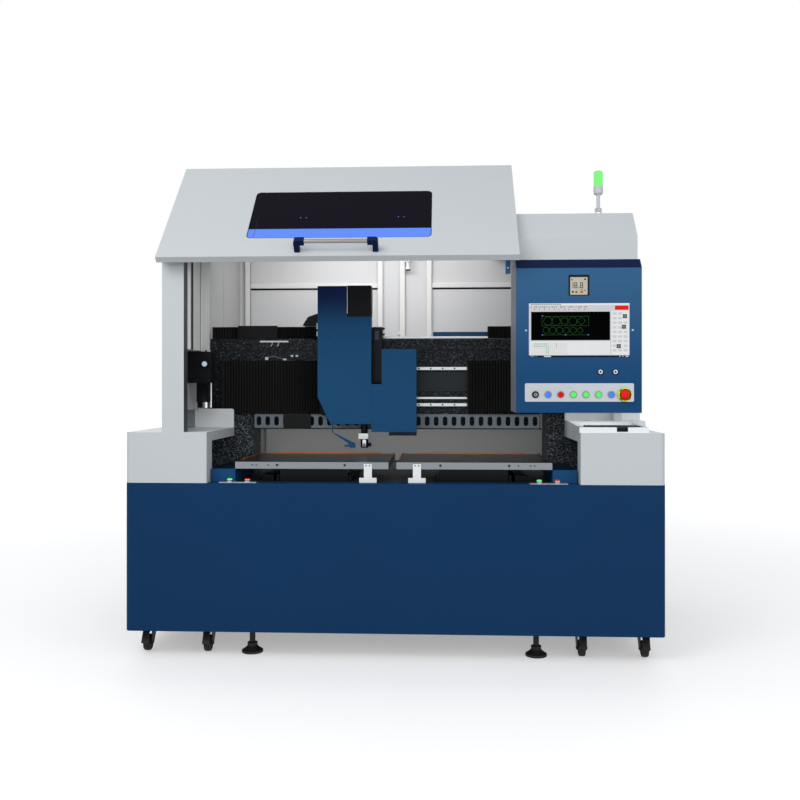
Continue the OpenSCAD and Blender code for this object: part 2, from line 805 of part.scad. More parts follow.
// The right-hand pedestal with the cover over the gantry's leg
module pedestal() {
    side_x = ped_out_x - ped_side_t;
    r = 22;
    difference() {
        at(0, 0, rim_z) linear_extrude(ped_h) {
            translate([ped_in_x, 0]) square([ped_w - r, leg_cover_y]);
            translate([ped_in_x, r]) square([ped_w, leg_cover_y - r]);
            translate([ped_out_x - r, r]) circle(r);
        }
        block([ped_in_x - eps, side_x], [ped_front_d, leg_cover_y + eps],
              [rim_z - eps, ped_z - slab_t]);
        block([ped_in_x + skin, side_x], [skin, ped_front_d - skin], [rim_z - eps, ped_z - skin]);
        block([ped_in_x + skin, ped_out_x - skin], [ped_front_d - skin - eps, leg_cover_y - skin],
              [ped_z - slab_t + skin, ped_z - skin]);
        block([side_x + skin, ped_out_x - skin], [ped_front_d, leg_cover_y - skin],
              [rim_z - eps, ped_z - skin]);
    }
    front_view(leg_cover_y, leg_cover_y + leg_cover_t)
        translate([ped_in_x, ped_z - slab_t])
        union() {
            translate([12, 0]) square([ped_w - 12, slab_t + leg_cover_h]);
            square([ped_w - 12, slab_t + leg_cover_h - 12]);
            translate([12, slab_t + leg_cover_h - 12]) circle(12);
        }
    block([beam_w / 2 + 5, ped_out_x], [leg_cover_y, base_d], [leg_cover_z - leg_cover_t, leg_cover_z]);
    difference() {
        block([side_x, ped_out_x], [leg_cover_y, base_d], [rim_z, leg_cover_z]);
        block([side_x + skin, ped_out_x - skin], [leg_cover_y + leg_cover_t, base_d - skin],
              [rim_z - eps, leg_cover_z - leg_cover_t]);
    }
}

module left_pedestal() color("#c3c9cc") mirror([1, 0, 0]) pedestal();

// Height of the keyboard console's sloping top at a distance y behind the cabinet's front
function console_top(y) =
    ped_z + console_front_h + (y - console_y) * (console_back_h - console_front_h) / console_d;

module right_pedestal() {
    y1 = console_y + console_d;
    x1 = ped_in_x + console_w;
    well_floor = ped_z + 4;
    notch_x = x1 - console_rim - 120;
    color("#c3c9cc") {
        pedestal();
        difference() {
            side_view(ped_in_x, x1) polygon([
                [console_y, ped_z], [y1, ped_z], [y1, ped_z + console_back_h],
                [console_y, ped_z + console_front_h]
            ]);
            block([ped_in_x + console_rim, x1 - console_rim],
                  [console_y + 14, y1 - 90], [well_floor, leg_cover_z]);
            block([notch_x, notch_x + notch_w], [console_y - eps, console_y + 20],
                  [well_floor, leg_cover_z]);
        }
        block([ped_in_x, ped_out_x], [y1, leg_cover_y], [ped_z, ped_z + console_back_h]);
    }
}

// ---------------------------------------------------------------- enclosure

lintel_y = 24;
lintel_z = under_hood(lintel_y) - 62;

module left_wall() {
    y_top = under_hood_y(roof_z);
    groove = 6;
    inner = -left_x + left_t;
    soffit_z = roof_z - roof_t;
    foot_d = 60;
    color("#c6cacd") {
        block([-left_x, -left_x + skin], [foot_d - skin, leg_cover_y],
              [ped_z, leg_cover_z + skin]);
        difference() {
            side_view(-left_x, inner) polygon([
                [0, ped_z], [0, under_hood(0)], [y_top, roof_z], [base_d, roof_z],
                [base_d, leg_cover_z], [foot_d, leg_cover_z], [foot_d, ped_z]
            ]);
            side_view(-left_x + skin, inner - skin) polygon([
                [skin, ped_z - eps], [skin, under_hood(skin) - 2 * skin],
                [y_top + skin, roof_z - skin], [base_d - skin, roof_z - skin],
                [base_d - skin, leg_cover_z - eps], [leg_cover_y + skin, leg_cover_z - eps],
                [leg_cover_y + skin, leg_cover_z + skin], [foot_d - skin, leg_cover_z + skin],
                [foot_d - skin, ped_z - eps]
            ]);
            block([inner - skin / 2, inner + eps], [pillar_d + 520, pillar_d + 528],
                  [leg_cover_z - eps, roof_z + eps]);
        }
        side_view(inner, -left_x + column_w) polygon([
            [0, ped_z], [0, under_hood(0)], [12, under_hood(12)], [12, ped_z]
        ]);
        block([-left_x + column_w - 12, -left_x + column_w], [12, foot_d], [ped_z, under_hood(12)]);
        difference() {
            side_view(inner, -pillar_x) polygon([
                [62, pillar_z], [62, under_hood(62)], [under_hood_y(soffit_z), soffit_z],
                [pillar_d, soffit_z], [pillar_d, pillar_z]
            ]);
            block([-pillar_x - 30, -pillar_x + eps], [72, 108], [pillar_z - eps, roof_z]);
            block([-pillar_x - groove, -pillar_x + eps], [225, 260], [pillar_z - eps, roof_z]);
            block([-pillar_x - groove, -pillar_x + eps], [402, pillar_d + eps],
                  [pillar_z - eps, roof_z]);
        }
    }
}

module rear_wall() {
    inner = base_d - rear_t;
    x0 = -left_x + left_t;
    x1 = right_x - housing_t;
    post = 30;
    slot_z = roof_z - 468;
    lower_top = beam_z;
    lower_x = ped_in_x - 9;
    bay_x = ped_out_x - ped_side_t;
    leg_cover_top = leg_cover_z - leg_cover_t;
    lid_x = beam_w / 2 + 5;
    color("#bdbdbb") {
        difference() {
            front_view(inner, base_d) polygon([
                [x0, leg_cover_z], [-lid_x, leg_cover_z], [-lid_x, leg_cover_top],
                [-bay_x, leg_cover_top], [-bay_x, rim_z], [bay_x, rim_z], [bay_x, leg_cover_top],
                [lid_x, leg_cover_top], [lid_x, leg_cover_z], [x1, leg_cover_z],
                [x1, housing_roof_z - housing_t],
                [partition_x, housing_roof_z - housing_t], [partition_x, roof_z - roof_t],
                [x0, roof_z - roof_t]
            ]);
            for (x = [[x0 + 67, -160], [163, x1 - 60]])
                block(x, [inner - eps, inner + 12], [slot_z, slot_z + 9]);
            front_view(inner + skin, base_d - skin) polygon([
                [-bay_x + skin, rim_z - eps], [bay_x - skin, rim_z - eps],
                [bay_x - skin, leg_cover_top - skin], [lid_x - skin, leg_cover_top - skin],
                [lid_x - skin, leg_cover_z + skin], [x1 - skin, leg_cover_z + skin],
                [x1 - skin, housing_roof_z - housing_t - skin],
                [partition_x - skin, housing_roof_z - housing_t - skin],
                [partition_x - skin, roof_z - roof_t - skin], [x0 + skin, roof_z - roof_t - skin],
                [x0 + skin, leg_cover_z + skin], [-lid_x + skin, leg_cover_z + skin],
                [-lid_x + skin, leg_cover_top - skin], [-bay_x + skin, leg_cover_top - skin]
            ]);
            for (x = [-base_w / 4, 0, base_w / 4])
                block([x - 200, x + 200], [base_d - skin / 2, base_d + eps],
                      [rim_z + 60, rim_z + 560]);
        }
        for (x = [x0 + 37, -160, -29, 128])
            block([x, x + post], [inner - 20, inner], [rim_z, roof_z - roof_t]);
        for (x = [[x0 + 67, -160], [158, x1 - 60]])
            block(x, [inner - 10, inner], [slot_z + 9, slot_z + 36]);
        block([-lower_x, lower_x], [inner - 26, inner], [rim_z, lower_top]);
    }
}

module roof_panel() {
    y_top = under_hood_y(roof_z);
    x0 = -left_x + left_t;
    x1 = partition_x + partition_t;
    low_z = housing_roof_z - housing_t;
    color("#c6cacd") {
        difference() {
            union() {
                block([x0, x1], [y_top, base_d], [roof_z - roof_t, roof_z]);
                side_view(partition_x, x1) polygon([
                    [lintel_y, lintel_z], [lintel_y, under_hood(lintel_y)], [y_top, roof_z],
                    [base_d, roof_z], [base_d, low_z], [housing_y + 220, low_z],
                    [housing_y + housing_t, lintel_z]
                ]);
            }
            block([x0 - eps, x1 - skin], [y_top + 2 * skin, base_d - skin],
                  [roof_z - roof_t + skin, roof_z - skin]);
            side_view(partition_x + skin, x1 - skin) polygon([
                [lintel_y + skin, lintel_z + skin], [lintel_y + skin, under_hood(lintel_y) - skin],
                [y_top + 2 * skin, roof_z - skin], [base_d - skin, roof_z - skin],
                [base_d - skin, low_z + skin], [housing_y + 218, low_z + skin],
                [housing_y + housing_t - 2, lintel_z + skin]
            ]);
        }
        block([-left_x + column_w, partition_x], [lintel_y, lintel_y + 36],
              [lintel_z, lintel_z + 60]);
        for (x = hinge_xs)
            union() {
                rod_x(2 * hinge_r, x - 20, x + 20, hinge_y, hinge_z);
                block([x - 20, x + 20], [hinge_y - 1, hinge_y + 12], [roof_z - eps, hinge_z]);
                rod_x(hinge_pin_d, x - 44, x + 44, hinge_y, hinge_z);
            }
    }
}

// Side view of the housing's right wall, smaller all round by t
module housing_side(t) {
    foot_z = control_top_z + 12;
    step_z = ped_z + console_back_h;
    polygon([
        [control_d + t, control_z + t], [control_d + t, foot_z + t], [housing_y + t, foot_z + t],
        [housing_y + t, housing_fold_z - t * 0.4],
        [housing_y + housing_slope_d + t * 0.4, housing_roof_z - t],
        [base_d - t, housing_roof_z - t], [base_d - t, leg_cover_z + t],
        [leg_cover_y - t, leg_cover_z + t], [leg_cover_y - t, step_z + t],
        [control_d + 150 + t, step_z + t], [control_d + 150 + t, control_z + t]
    ]);
}

module right_housing() {
    y_top = housing_y + housing_slope_d;
    plate = 12;
    foot_z = control_top_z + plate;
    in_fold = housing_fold_z - housing_t * 0.38;
    in_top = housing_roof_z - housing_t;
    x0 = partition_x + partition_t;
    wall_y = control_d;
    color("#b8bdc1") {
        difference() {
            union() {
                side_view(x0, right_x) polygon([
                    [housing_y - 8, foot_z - plate], [housing_y - 8, foot_z], [housing_y, foot_z],
                    [housing_y, housing_fold_z], [y_top, housing_roof_z],
                    [base_d, housing_roof_z], [base_d, in_top], [y_top + housing_t * 0.45, in_top],
                    [housing_y + housing_t, in_fold], [housing_y + housing_t, foot_z - plate]
                ]);
                side_view(right_x - housing_t, right_x) housing_side(0);
            }
            side_view(right_x - housing_t + skin, right_x - skin) housing_side(skin);
            block([x0 - eps, right_x - skin], [y_top + housing_t, base_d - skin],
                  [in_top + skin, housing_roof_z - skin]);
        }
        block([control_x, right_x - housing_t + eps], [wall_y, wall_y + plate], [control_z, foot_z]);
        block([x0, right_x - housing_t + eps], [housing_y + housing_t - eps, wall_y + plate],
              [foot_z - plate, foot_z]);
        at(lamp_x, lamp_y, housing_roof_z) cylinder(d = 54, h = 6);
        for (s = [-1, 1])
            block([lamp_x + s * 12 - 3, lamp_x + s * 12 + 3], [lamp_y - 9, lamp_y + 9],
                  [housing_roof_z + 5, lamp_pivot_z + 9]);
        rod_x(6, lamp_x - 16, lamp_x + 16, lamp_y, lamp_pivot_z);
    }
}

// ---------------------------------------------------------------- control cabinet

// Side view of the control panel's outer face, moved inwards by t
module panel_side(t) polygon([
    [t, control_z], [t, control_z + control_h - t * 0.4],
    [panel_slope_d + t * 0.4, control_top_z - t], [panel_slope_d + 24, control_top_z - t],
    [panel_slope_d + 24, control_z]
]);

monitor_x = right_x - 53 - monitor_w;
monitor_z = control_z + 244;
display_x = right_x - 318;
display_z = control_z + 515;

module control_cabinet() {
    wall = 3;
    color("#c6cacd") difference() {
        union() {
            side_view(control_x, right_x) difference() {
                panel_side(panel_t);
                translate([panel_slope_d + 20, 0]) square([100, 3000]);
            }
            block([control_x, right_x], [panel_slope_d + 20, control_d], [control_z, control_top_z]);
        }
        block([control_x + wall, right_x - wall], [-eps, control_d - wall],
              [control_z + wall, control_z + control_h - 14]);
        block([control_x + wall, right_x - wall], [panel_slope_d + 12, control_d - wall],
              [control_z + wall, control_top_z - wall]);
    }
}

module control_panel() {
    color("#2a5480") difference() {
        side_view(control_x, right_x) difference() {
            panel_side(0);
            panel_side(panel_t);
            translate([panel_slope_d, 0]) square([100, control_top_z - panel_t]);
            translate([panel_slope_d + 20, 0]) square([100, control_top_z + eps]);
        }
        block([monitor_x - gap, monitor_x + monitor_w + gap], [-eps, panel_t + eps],
              [monitor_z - gap, monitor_z + monitor_h + gap]);
        block([display_x - gap, display_x + display_w + gap], [-eps, panel_t + eps],
              [display_z - gap, display_z + display_w + gap]);
        for (i = [0:6])
            rod_y(bezel_d - 2, button_x(i), -eps, panel_t + eps, button_z);
        rod_y(guard_d - 16, estop_x, -eps, panel_t + eps, button_z);
        for (x = usb_xs)
            rod_y(18, x, -eps, panel_t + eps, usb_z);
    }
}

usb_xs = [right_x - 180, right_x - 115];
usb_z = control_z + 180;

module monitor() {
    recess = 4;
    color("#101316") {
        block([monitor_x, monitor_x + monitor_w], [recess, monitor_d],
              [monitor_z, monitor_z + monitor_h]);
        block([monitor_x + 60, monitor_x + monitor_w - 60], [monitor_d, control_d - 3],
              [monitor_z + 80, monitor_z + 110]);
    }
}

module temperature_display() {
    frame = 7;
    color("#14181c") difference() {
        block([display_x, display_x + display_w], [1, 30], [display_z, display_z + display_w]);
        block([display_x + frame, display_x + display_w - frame], [-eps, 3],
              [display_z + frame * 0.4, display_z + display_w - frame * 1.2]);
    }
}

module button_plate() {
    color("#d4d6d8") {
        difference() {
            union() {
                front_view(-plate_t, 0) translate([plate_x, plate_z]) round_rect(plate_w, plate_h, 6);
                for (i = [0:6])
                    rod_y(bezel_d, button_x(i), -plate_t - 5, -plate_t + eps, button_z);
                for (i = [0:6])
                    rod_y(bezel_d - 2 - 2 * fit, button_x(i), -eps, 40, button_z);
                rod_y(guard_d - 16 - 2 * fit, estop_x, -eps, 40, button_z);
            }
            for (i = [1:6])
                rod_y(button_d + 2 * gap, button_x(i), -plate_t - 5 - eps, 30, button_z);
            rod_y(button_d - 4 + 2 * fit, button_x(0), -plate_t - 5 - eps, 30, button_z);
            rod_y(24 + 2 * gap, estop_x, -plate_t - eps, 34, button_z);
        }
        for (x = usb_xs)
            difference() {
                union() {
                    rod_y(24, x, -5, 0, usb_z);
                    rod_y(18 - 2 * fit, x, -eps, 34, usb_z);
                }
                rod_y(12, x, -6, 20, usb_z);
            }
    }
}

module estop_guard() {
    depth = 22;
    color("#e6d92a") difference() {
        at(estop_x, -plate_t, button_z) rotate([90, 0, 0]) cylinder(d1 = guard_d, d2 = guard_d - 4, h = depth);
        rod_y(guard_d - 9, estop_x, -plate_t - depth - eps, -plate_t - 3, button_z);
        rod_y(30, estop_x, -plate_t - depth, -plate_t + eps, button_z);
        for (a = [45:90:315])
            at(estop_x, -plate_t, button_z) rotate([90, a, 0]) translate([guard_d / 2, 0, 21])
                cube([20, 14, 30], center = true);
    }
}

// A push-button's plunger at control i, coloured c
module panel_button(i, c) {
    stand = plate_t + 5 + button_travel + 2;
    color(c) {
        rod_y(button_d, button_x(i), -stand, 22, button_z);
    }
}

module key_switch() {
    stand = plate_t + 9;
    color("#2b2f33") difference() {
        union() {
            rod_y(button_d - 4, button_x(0), -stand, 22, button_z);
            rod_y(button_d + 2, button_x(0), -stand, -plate_t - 5 - gap, button_z);
        }
        block([button_x(0) - 1.5, button_x(0) + 1.5], [-stand - eps, -stand + 8],
              [button_z - 6, button_z + 6]);
    }
}

module estop_button() {
    color("#c8231f") {
        at(estop_x, -plate_t, button_z) rotate([90, 0, 0]) rotate_extrude() polygon([
            [0, 10], [mushroom_d / 2 - 3, 10], [mushroom_d / 2, 14], [mushroom_d / 2 - 1, 20],
            [mushroom_d * 0.36, 25], [mushroom_d * 0.2, 27], [0, 27]
        ]);
        rod_y(24, estop_x, -plate_t - 10 - eps, 24, button_z);
    }
}

// ---------------------------------------------------------------- hood

// One of the hood's hinge knuckles: a barrel with an arm to the hood's upper edge
module hood_knuckle(x) on_hood() translate([x - 11.5, 0, 0]) rotate([90, 0, 90])
    linear_extrude(23) difference() {
        union() {
            translate([hinge_s, -hinge_drop]) circle(hinge_r);
            translate([hood_l - eps, -hinge_drop - hinge_r])
                square([hinge_back + eps, 1.5 * hinge_r]);
        }
        translate([hinge_s, -hinge_drop]) circle(d = hinge_pin_d + 2 * fit);
    }

module hood_panel() {
    edge = 30;
    sheet = 3;
    ledge = 12;
    window_end = window_s + window_l + edge;
    color("#c6cacd") {
        on_hood() difference() {
            translate([hood_x, 0, -hood_t]) cube([hood_w, hood_l, hood_t]);
            translate([hood_x + edge, edge, -hood_t - eps])
                cube([window_x - 2 * edge, hood_l - 2 * edge, hood_t - sheet + eps]);
            translate([hood_x + window_x + window_w + edge, edge, -hood_t - eps])
                cube([hood_w - window_x - window_w - 2 * edge, hood_l - 2 * edge, hood_t - sheet + eps]);
            translate([hood_x + window_x, edge, -hood_t - eps])
                cube([window_w, window_s - 2 * edge, hood_t - sheet + eps]);
            translate([hood_x + window_x, window_end, -hood_t - eps])
                cube([window_w, hood_l - edge - window_end, hood_t - sheet + eps]);
            translate([hood_x + window_x, window_s, -pane_t]) linear_extrude(pane_t + eps)
                round_rect(window_w, window_l, window_r);
            translate([hood_x + window_x + ledge, window_s + ledge, -hood_t - eps])
                linear_extrude(hood_t) round_rect(window_w - 2 * ledge, window_l - 2 * ledge,
                                                  window_r - ledge / 2);
        }
        for (x = hinge_xs, side = [-1, 1])
            hood_knuckle(x + side * 32);
    }
}

module hood_window() {
    slack = 0.5;
    color([0.06, 0.08, 0.16, 0.9]) on_hood()
        translate([hood_x + window_x + slack, window_s + slack, -pane_t]) linear_extrude(pane_t - 1)
        round_rect(window_w - 2 * slack, window_l - 2 * slack, window_r - slack);
}

module hood_handle() {
    foot = 24;
    stub = 46;
    x0 = hood_x + window_x + (window_w - handle_w) / 2;
    bar_h = handle_h - 12;
    bar_s = handle_s + 14;
    color("#1b3a63") on_hood() {
        for (side = [0, 1])
            translate([x0 + side * handle_w, 0, 0]) mirror([side, 0, 0]) {
                translate([0, handle_s, 0]) cube([foot, 28, bar_h]);
                translate([12, handle_s, bar_h]) cube([stub - 12, 28, 12]);
                translate([12, handle_s + 28, bar_h]) rotate([90, 0, 0]) cylinder(r = 12, h = 28);
                translate([foot - eps, handle_s, bar_h - 13]) cube([stub - foot + eps, 28, 14]);
            }
        translate([x0 + stub - 2, bar_s, bar_h]) rotate([0, 90, 0])
            cylinder(d = bar_d, h = handle_w - 2 * stub + 4);
    }
}

// ---------------------------------------------------------------- carriage and heads

slide_y = carriage_y - 12;         // front faces of the carriage's upright rails
head_back_y = slide_y - gap;       // back faces of the two heads
optics_x = head_x + head_w - 113;
nozzle_x = head_x + head_w - 36;
nozzle_y = head_y + 32;
head_front = head_y + cover_t;     // inner face of the head covers

module x_carriage() {
    x1 = carriage_x + carriage_w;
    block_h = 44;
    motor_x = head_x + head_w + 1;
    plate_top = carriage_z + carriage_h + 180;
    step_x = motor_x + 50;
    step_z = vision_z + vision_h - 7;
    over = beam_top_z + top_bellows_h + 7;
    color("#1a1c1f") {
        front_view(carriage_y, carriage_y + carriage_t) polygon([
            [carriage_x, carriage_z], [x1, carriage_z], [x1, step_z], [step_x, step_z],
            [step_x, plate_top], [carriage_x, plate_top]
        ]);
        for (z = [lower_rail_z, upper_rail_z], x = [carriage_x + 20, x1 - 110])
            difference() {
                block([x, x + 90], [carriage_y + carriage_t - eps, gantry_y - 12],
                      [z - block_h / 2, z + block_h / 2]);
                block([x - eps, x + 91], [gantry_y - rail_h - gap, gantry_y],
                      [z - rail_w / 2 - gap, z + rail_w / 2 + gap]);
            }
        for (x = [-345, -215, -60, 50])
            block([x - 9, x + 9], [head_back_y - 4 + gap, carriage_y + eps],
                  [carriage_z, x < step_x ? plate_top : step_z]);
        block([motor_x, motor_x + 50], [head_y + 64, carriage_y + eps], [carriage_z + 137, plate_top]);
        front_view(gantry_y + 10, gantry_y + 120) translate([carriage_x, over]) polygon([
            [-106, 0], [-77, 44], [-32, 60], [60, 60], [60, 0]
        ]);
        block([carriage_x + 10, carriage_x + 60], [carriage_y + 2, gantry_y + 60],
              [over, over + 18]);
        block([carriage_x + 10, carriage_x + 60], [carriage_y + 2, carriage_y + carriage_t],
              [plate_top - eps, over + 18]);
    }
}

// The front view of the cutting head's cover
module cutting_outline(inset) {
    x0 = head_x + inset;
    x1 = head_x + head_w - inset;
    z0 = head_z + inset;
    z1 = head_z + head_h - inset;
    polygon([
        [x0, z0 + head_chamfer_z], [x0 + head_chamfer_x, z0], [x1, z0],
        [x1, z1 - head_notch_h], [head_x + head_top_w - inset, z1 - head_notch_h],
        [head_x + head_top_w - inset, z1], [x0, z1]
    ]);
}

module cutting_head_cover() {
    x_rod = head_x + 76;
    rod = 6;
    y_rod = head_y + 12;
    color("#26527d") {
        difference() {
            front_view(head_y, head_y + 62) cutting_outline(0);
            front_view(head_y + cover_t, head_y + 63) cutting_outline(cover_t);
            for (z = [head_z + 322, head_z + 397, head_z + 468])
                rod_y(5, head_x + 90, head_y - eps, head_y + cover_t + eps, z);
            block([nozzle_x - 24, nozzle_x + 24], [nozzle_y - 21, nozzle_y + 21],
                  [head_z - eps, head_z + cover_t + eps]);
        }
        block([x_rod - rod, x_rod], [y_rod, y_rod + rod], [head_z - 42, head_z + cover_t]);
        front_view(y_rod, y_rod + rod) polygon([
            [x_rod - rod, head_z - 42], [x_rod, head_z - 42], [x_rod + 110, head_z - 96],
            [x_rod + 110, head_z - 118], [x_rod + 84, head_z - 118], [x_rod + 72, head_z - 94]
        ]);
        rod_x(9, x_rod + 56, x_rod + 86, y_rod + 3, head_z - 108);
    }
}

module cutting_optics() {
    back_t = 14;
    color("#17181a") {
        difference() {
            block([head_x + 8, head_x + head_w - 6], [head_back_y - back_t, head_back_y],
                  [head_z + 40, head_z + head_h - 20]);
            for (x = [-345, -215])
                block([x - 9 - gap, x + 9 + gap], [head_back_y - 4, head_back_y + eps],
                      [head_z, head_z + head_h]);
        }
        block([head_x + head_top_w + gap, head_x + head_w], [head_y, head_back_y - back_t + eps],
              [head_z + head_h - head_notch_h + gap, head_z + head_h + 2]);
        block([head_x + 30, optics_x - 10], [head_front, head_back_y - back_t + eps],
              [head_z + head_chamfer_z + 10, head_z + head_h - 20]);
        block([optics_x + 4, optics_x + 100], [head_front, head_back_y - back_t + eps],
              [head_z + cover_t + 1, head_z + 420]);
    }
}

module cutting_nozzle() {
    x = nozzle_x;
    y = nozzle_y;
    top = head_z + cover_t + 1;
    barrel_z = head_z - 74;
    color("#c9ccce") {
        block([x - 23, x + 23], [y - 20, y + 20], [barrel_z, top]);
        at(x, y, barrel_z - nozzle_h) cylinder(d1 = nozzle_d * 0.9, d2 = nozzle_d, h = nozzle_h + eps);
        rod_x(20, x + nozzle_d / 2 - 6, head_x + head_w - 0.5, y, barrel_z - 30);
    }
}

module vision_head() {
    x0 = head_x + head_w + 0.5;
    x1 = x0 + vision_w;
    step = 51;
    z0 = vision_z;
    z1 = vision_z + vision_h;
    step_z = z1 - 172;
    color("#26527d") {
        difference() {
            front_view(head_y, head_y + 62) polygon([
                [x0, z0], [x1, z0], [x1, z1], [x0 + step, z1], [x0 + step, step_z], [x0, step_z]
            ]);
            front_view(head_y + cover_t, head_y + 63) polygon([
                [x0 + cover_t, z0 + cover_t], [x1 - cover_t, z0 + cover_t],
                [x1 - cover_t, z1 - cover_t], [x0 + step + cover_t, z1 - cover_t],
                [x0 + step + cover_t, step_z - cover_t], [x0 + cover_t, step_z - cover_t]
            ]);
            for (z = [z0 + 120, z0 + 170, z0 + 215])
                rod_y(5, x0 + 92, head_y - eps, head_y + cover_t + eps, z);
        }
        difference() {
            block([x0 + step + 6, x1 - 4], [head_back_y - 14, head_back_y], [z0 + 110, z1 - 20]);
            for (x = [-60, 50])
                block([x - 9 - gap, x + 9 + gap], [head_back_y - 4, head_back_y + eps],
                      [z0, z1 + eps]);
        }
        block([x0 + step + 20, x1 - 30], [head_y + cover_t - eps, head_back_y - 13],
              [z0 + 130, z1 - 60]);
        at((x0 + x1) / 2 + 30, head_y + 34, z0 - 17) cylinder(d = 56, h = 150);
        block([x0 + 87, x1], [head_y + 2, head_y + 60], [z0 - 17, z0]);
    }
}

// ---------------------------------------------------------------- tables

module table(side) {
    x0 = side > 0 ? table_x : -table_x - table_w;
    x1 = x0 + table_w;
    mid = side * stage_x;
    y1 = table_y + table_d;
    under = table_z - table_t;
    rail_top = bed_z + stage_h + 14;
    bracket_x = side > 0 ? x0 + 92 : x1 - 92;
    hole_zs = under + table_t * 0.55;
    color("#aab0b4") {
        difference() {
            block([x0, x1], [table_y, y1], [under, table_z]);
            block([x0 + 8, x1 - 8], [table_y + 8, y1 - 8], [table_z - 1, table_z + eps]);
            for (x = [78, 96, 150, 191, 497])
                rod_y(x > 150 ? 9 : 5, side < 0 ? x0 + x : x1 - x, table_y - eps, table_y + 12, hole_zs);
        }
        for (x = [mid - stage_w / 2 + 24, mid + stage_w / 2 - 24], y = [table_y + 110, y1 - 130])
            difference() {
                block([x - 26, x + 26], [y, y + 80], [bed_z + stage_h + 1, under]);
                block([x - 10 - gap, x + 10 + gap], [y - eps, y + 81],
                      [bed_z + stage_h, rail_top + gap]);
            }
        block([x0 + 76, x1 - 76], [y1 - 8, y1 - 2], [table_z, table_z + 5]);
        for (x = [x0 + 2, x1 - 8])
            block([x, x + 6], [y1 - 420, y1 - 14], [table_z, table_z + 5]);
        front_view(table_y - 6, table_y) translate([bracket_x, 0]) difference() {
            union() {
                translate([-18, under - 44]) square([36, table_t + 36]);
                translate([-39, rim_z + 0.5]) square([78, 22]);
                translate([-18, rim_z + 1]) square([36, 60]);
            }
            for (s = [-8, 8])
                translate([s, under + table_t * 0.7]) circle(d = 5);
        }
    }
}

// ---------------------------------------------------------------- small units

start_plate_w = 168;
start_plate_d = 44;
start_y = 8;
start_x = ped_in_x - 138;
start_buttons = [-1, 1];

module start_plates() {
    color("#c9ccce") for (side = [-1, 1]) {
        difference() {
            union() {
                block([side * start_x - start_plate_w / 2, side * start_x + start_plate_w / 2],
                      [start_y, start_y + start_plate_d], [rim_z, rim_z + 4]);
                for (s = start_buttons)
                    rod_z(28, side * start_x + s * 40, start_y + start_plate_d / 2, rim_z + 3, rim_z + 9);
            }
            for (s = start_buttons)
                rod_z(button_d + 2 * gap, side * start_x + s * 40, start_y + start_plate_d / 2,
                      rim_z + 1, rim_z + 10);
        }
    }
}

// A two-hand start or stop button: x is its side, s its place on the plate
module start_button(side, s, c) {
    x = side * start_x + s * 40;
    y = start_y + start_plate_d / 2;
    color(c) at(x, y, 0) rotate_extrude() polygon([
        [0, rim_z + 5], [button_d / 2, rim_z + 5], [button_d / 2, rim_z + 14],
        [button_d / 2 - 2, rim_z + 17], [button_d / 4, rim_z + 19], [0, rim_z + 19.5]
    ]);
}

module air_unit() {
    x0 = -left_x + left_t;
    top = pillar_z - 3;
    y = 236;
    color("#1b1d20") {
        block([x0, x0 + 115], [y, y + 80], [top - 148, top]);
        rod_z(62, x0 + 65, y + 42, top - 240, top - 148 + eps);
        rod_z(28, x0 + 77, y + 42, top - 268, top - 240 + eps);
        rod_z(12, x0 + 103, y + 42, top - 266, top - 148 + eps);
        rod_y(36, x0 + 87, y - 14, y + eps, top - 59);
    }
}

module chamber_fittings() {
    inner = base_d - rear_t;
    cam_x = 20;
    color("#d8dadb") {
        rod_z(34, cam_x, inner - 42, roof_z - 363, roof_z - 252);
        block([cam_x - 12, cam_x + 12], [inner - 42, inner], [roof_z - 277, roof_z - 257]);
        block([partition_x - 7, partition_x - 1], [28, 60], [lintel_z - 60, lintel_z]);
    }
}

// ---------------------------------------------------------------- signal lamp

lamp_pivot_z = housing_roof_z + 35;

module signal_lamp() {
    neck_d = 20;
    neck_h = 68;
    cap_z0 = lamp_pivot_z + neck_h;
    color("#8f9499") difference() {
        at(lamp_x, lamp_y, 0) union() {
            translate([0, 0, lamp_pivot_z]) cylinder(d = neck_d - 3, h = neck_h + 6);
            translate([0, 0, cap_z0]) cylinder(d1 = lens_d - 10, d2 = lens_d, h = 8);
            translate([0, 0, cap_z0 + 8 - eps / 2]) cylinder(d = lens_d, h = 36);
            translate([0, 0, cap_z0 + 43]) cylinder(d = lens_d - 1, h = lens_h - 4);
            translate([0, 0, cap_z0 + 39 + lens_h - eps]) cylinder(d1 = lens_d - 1, d2 = lens_d - 8, h = 5);
            rotate([0, 90, 0]) translate([-lamp_pivot_z, 0, -9 + gap]) cylinder(d = 17, h = 18 - 2 * gap);
        }
        rod_x(6 + 2 * fit, lamp_x - 20, lamp_x + 20, lamp_y, lamp_pivot_z);
    }
}

base_cabinet();
base_frame();
granite_bed();
left_pedestal();
right_pedestal();
left_wall();
rear_wall();
roof_panel();
right_housing();
control_cabinet();
control_panel();
monitor();
temperature_display();
button_plate();
estop_guard();
granite_gantry();
gantry_rails();
energy_chain();
left_bellows();
right_bellows();
table_stages();
way_covers();
start_plates();
air_unit();
chamber_fittings();
hood_panel();
hood_window();
hood_handle();
x_carriage();
cutting_head_cover();
cutting_optics();
cutting_nozzle();
vision_head();
table(-1);  // left_table
table(1);  // right_table
key_switch();
panel_button(1, "#4a86e8");  // panel_button_1
panel_button(2, "#c8231f");  // panel_button_2
panel_button(3, "#55d060");  // panel_button_3
panel_button(4, "#55d060");  // panel_button_4
panel_button(5, "#55d060");  // panel_button_5
panel_button(6, "#4a86e8");  // panel_button_6
estop_button();
start_button(-1, -1, "#55d060");  // left_start_button
start_button(-1, 1, "#c8231f");  // left_stop_button
start_button(1, -1, "#55d060");  // right_start_button
start_button(1, 1, "#c8231f");  // right_stop_button
signal_lamp();
levelling_foot(0);  // levelling_foot_1
levelling_foot(1);  // levelling_foot_2
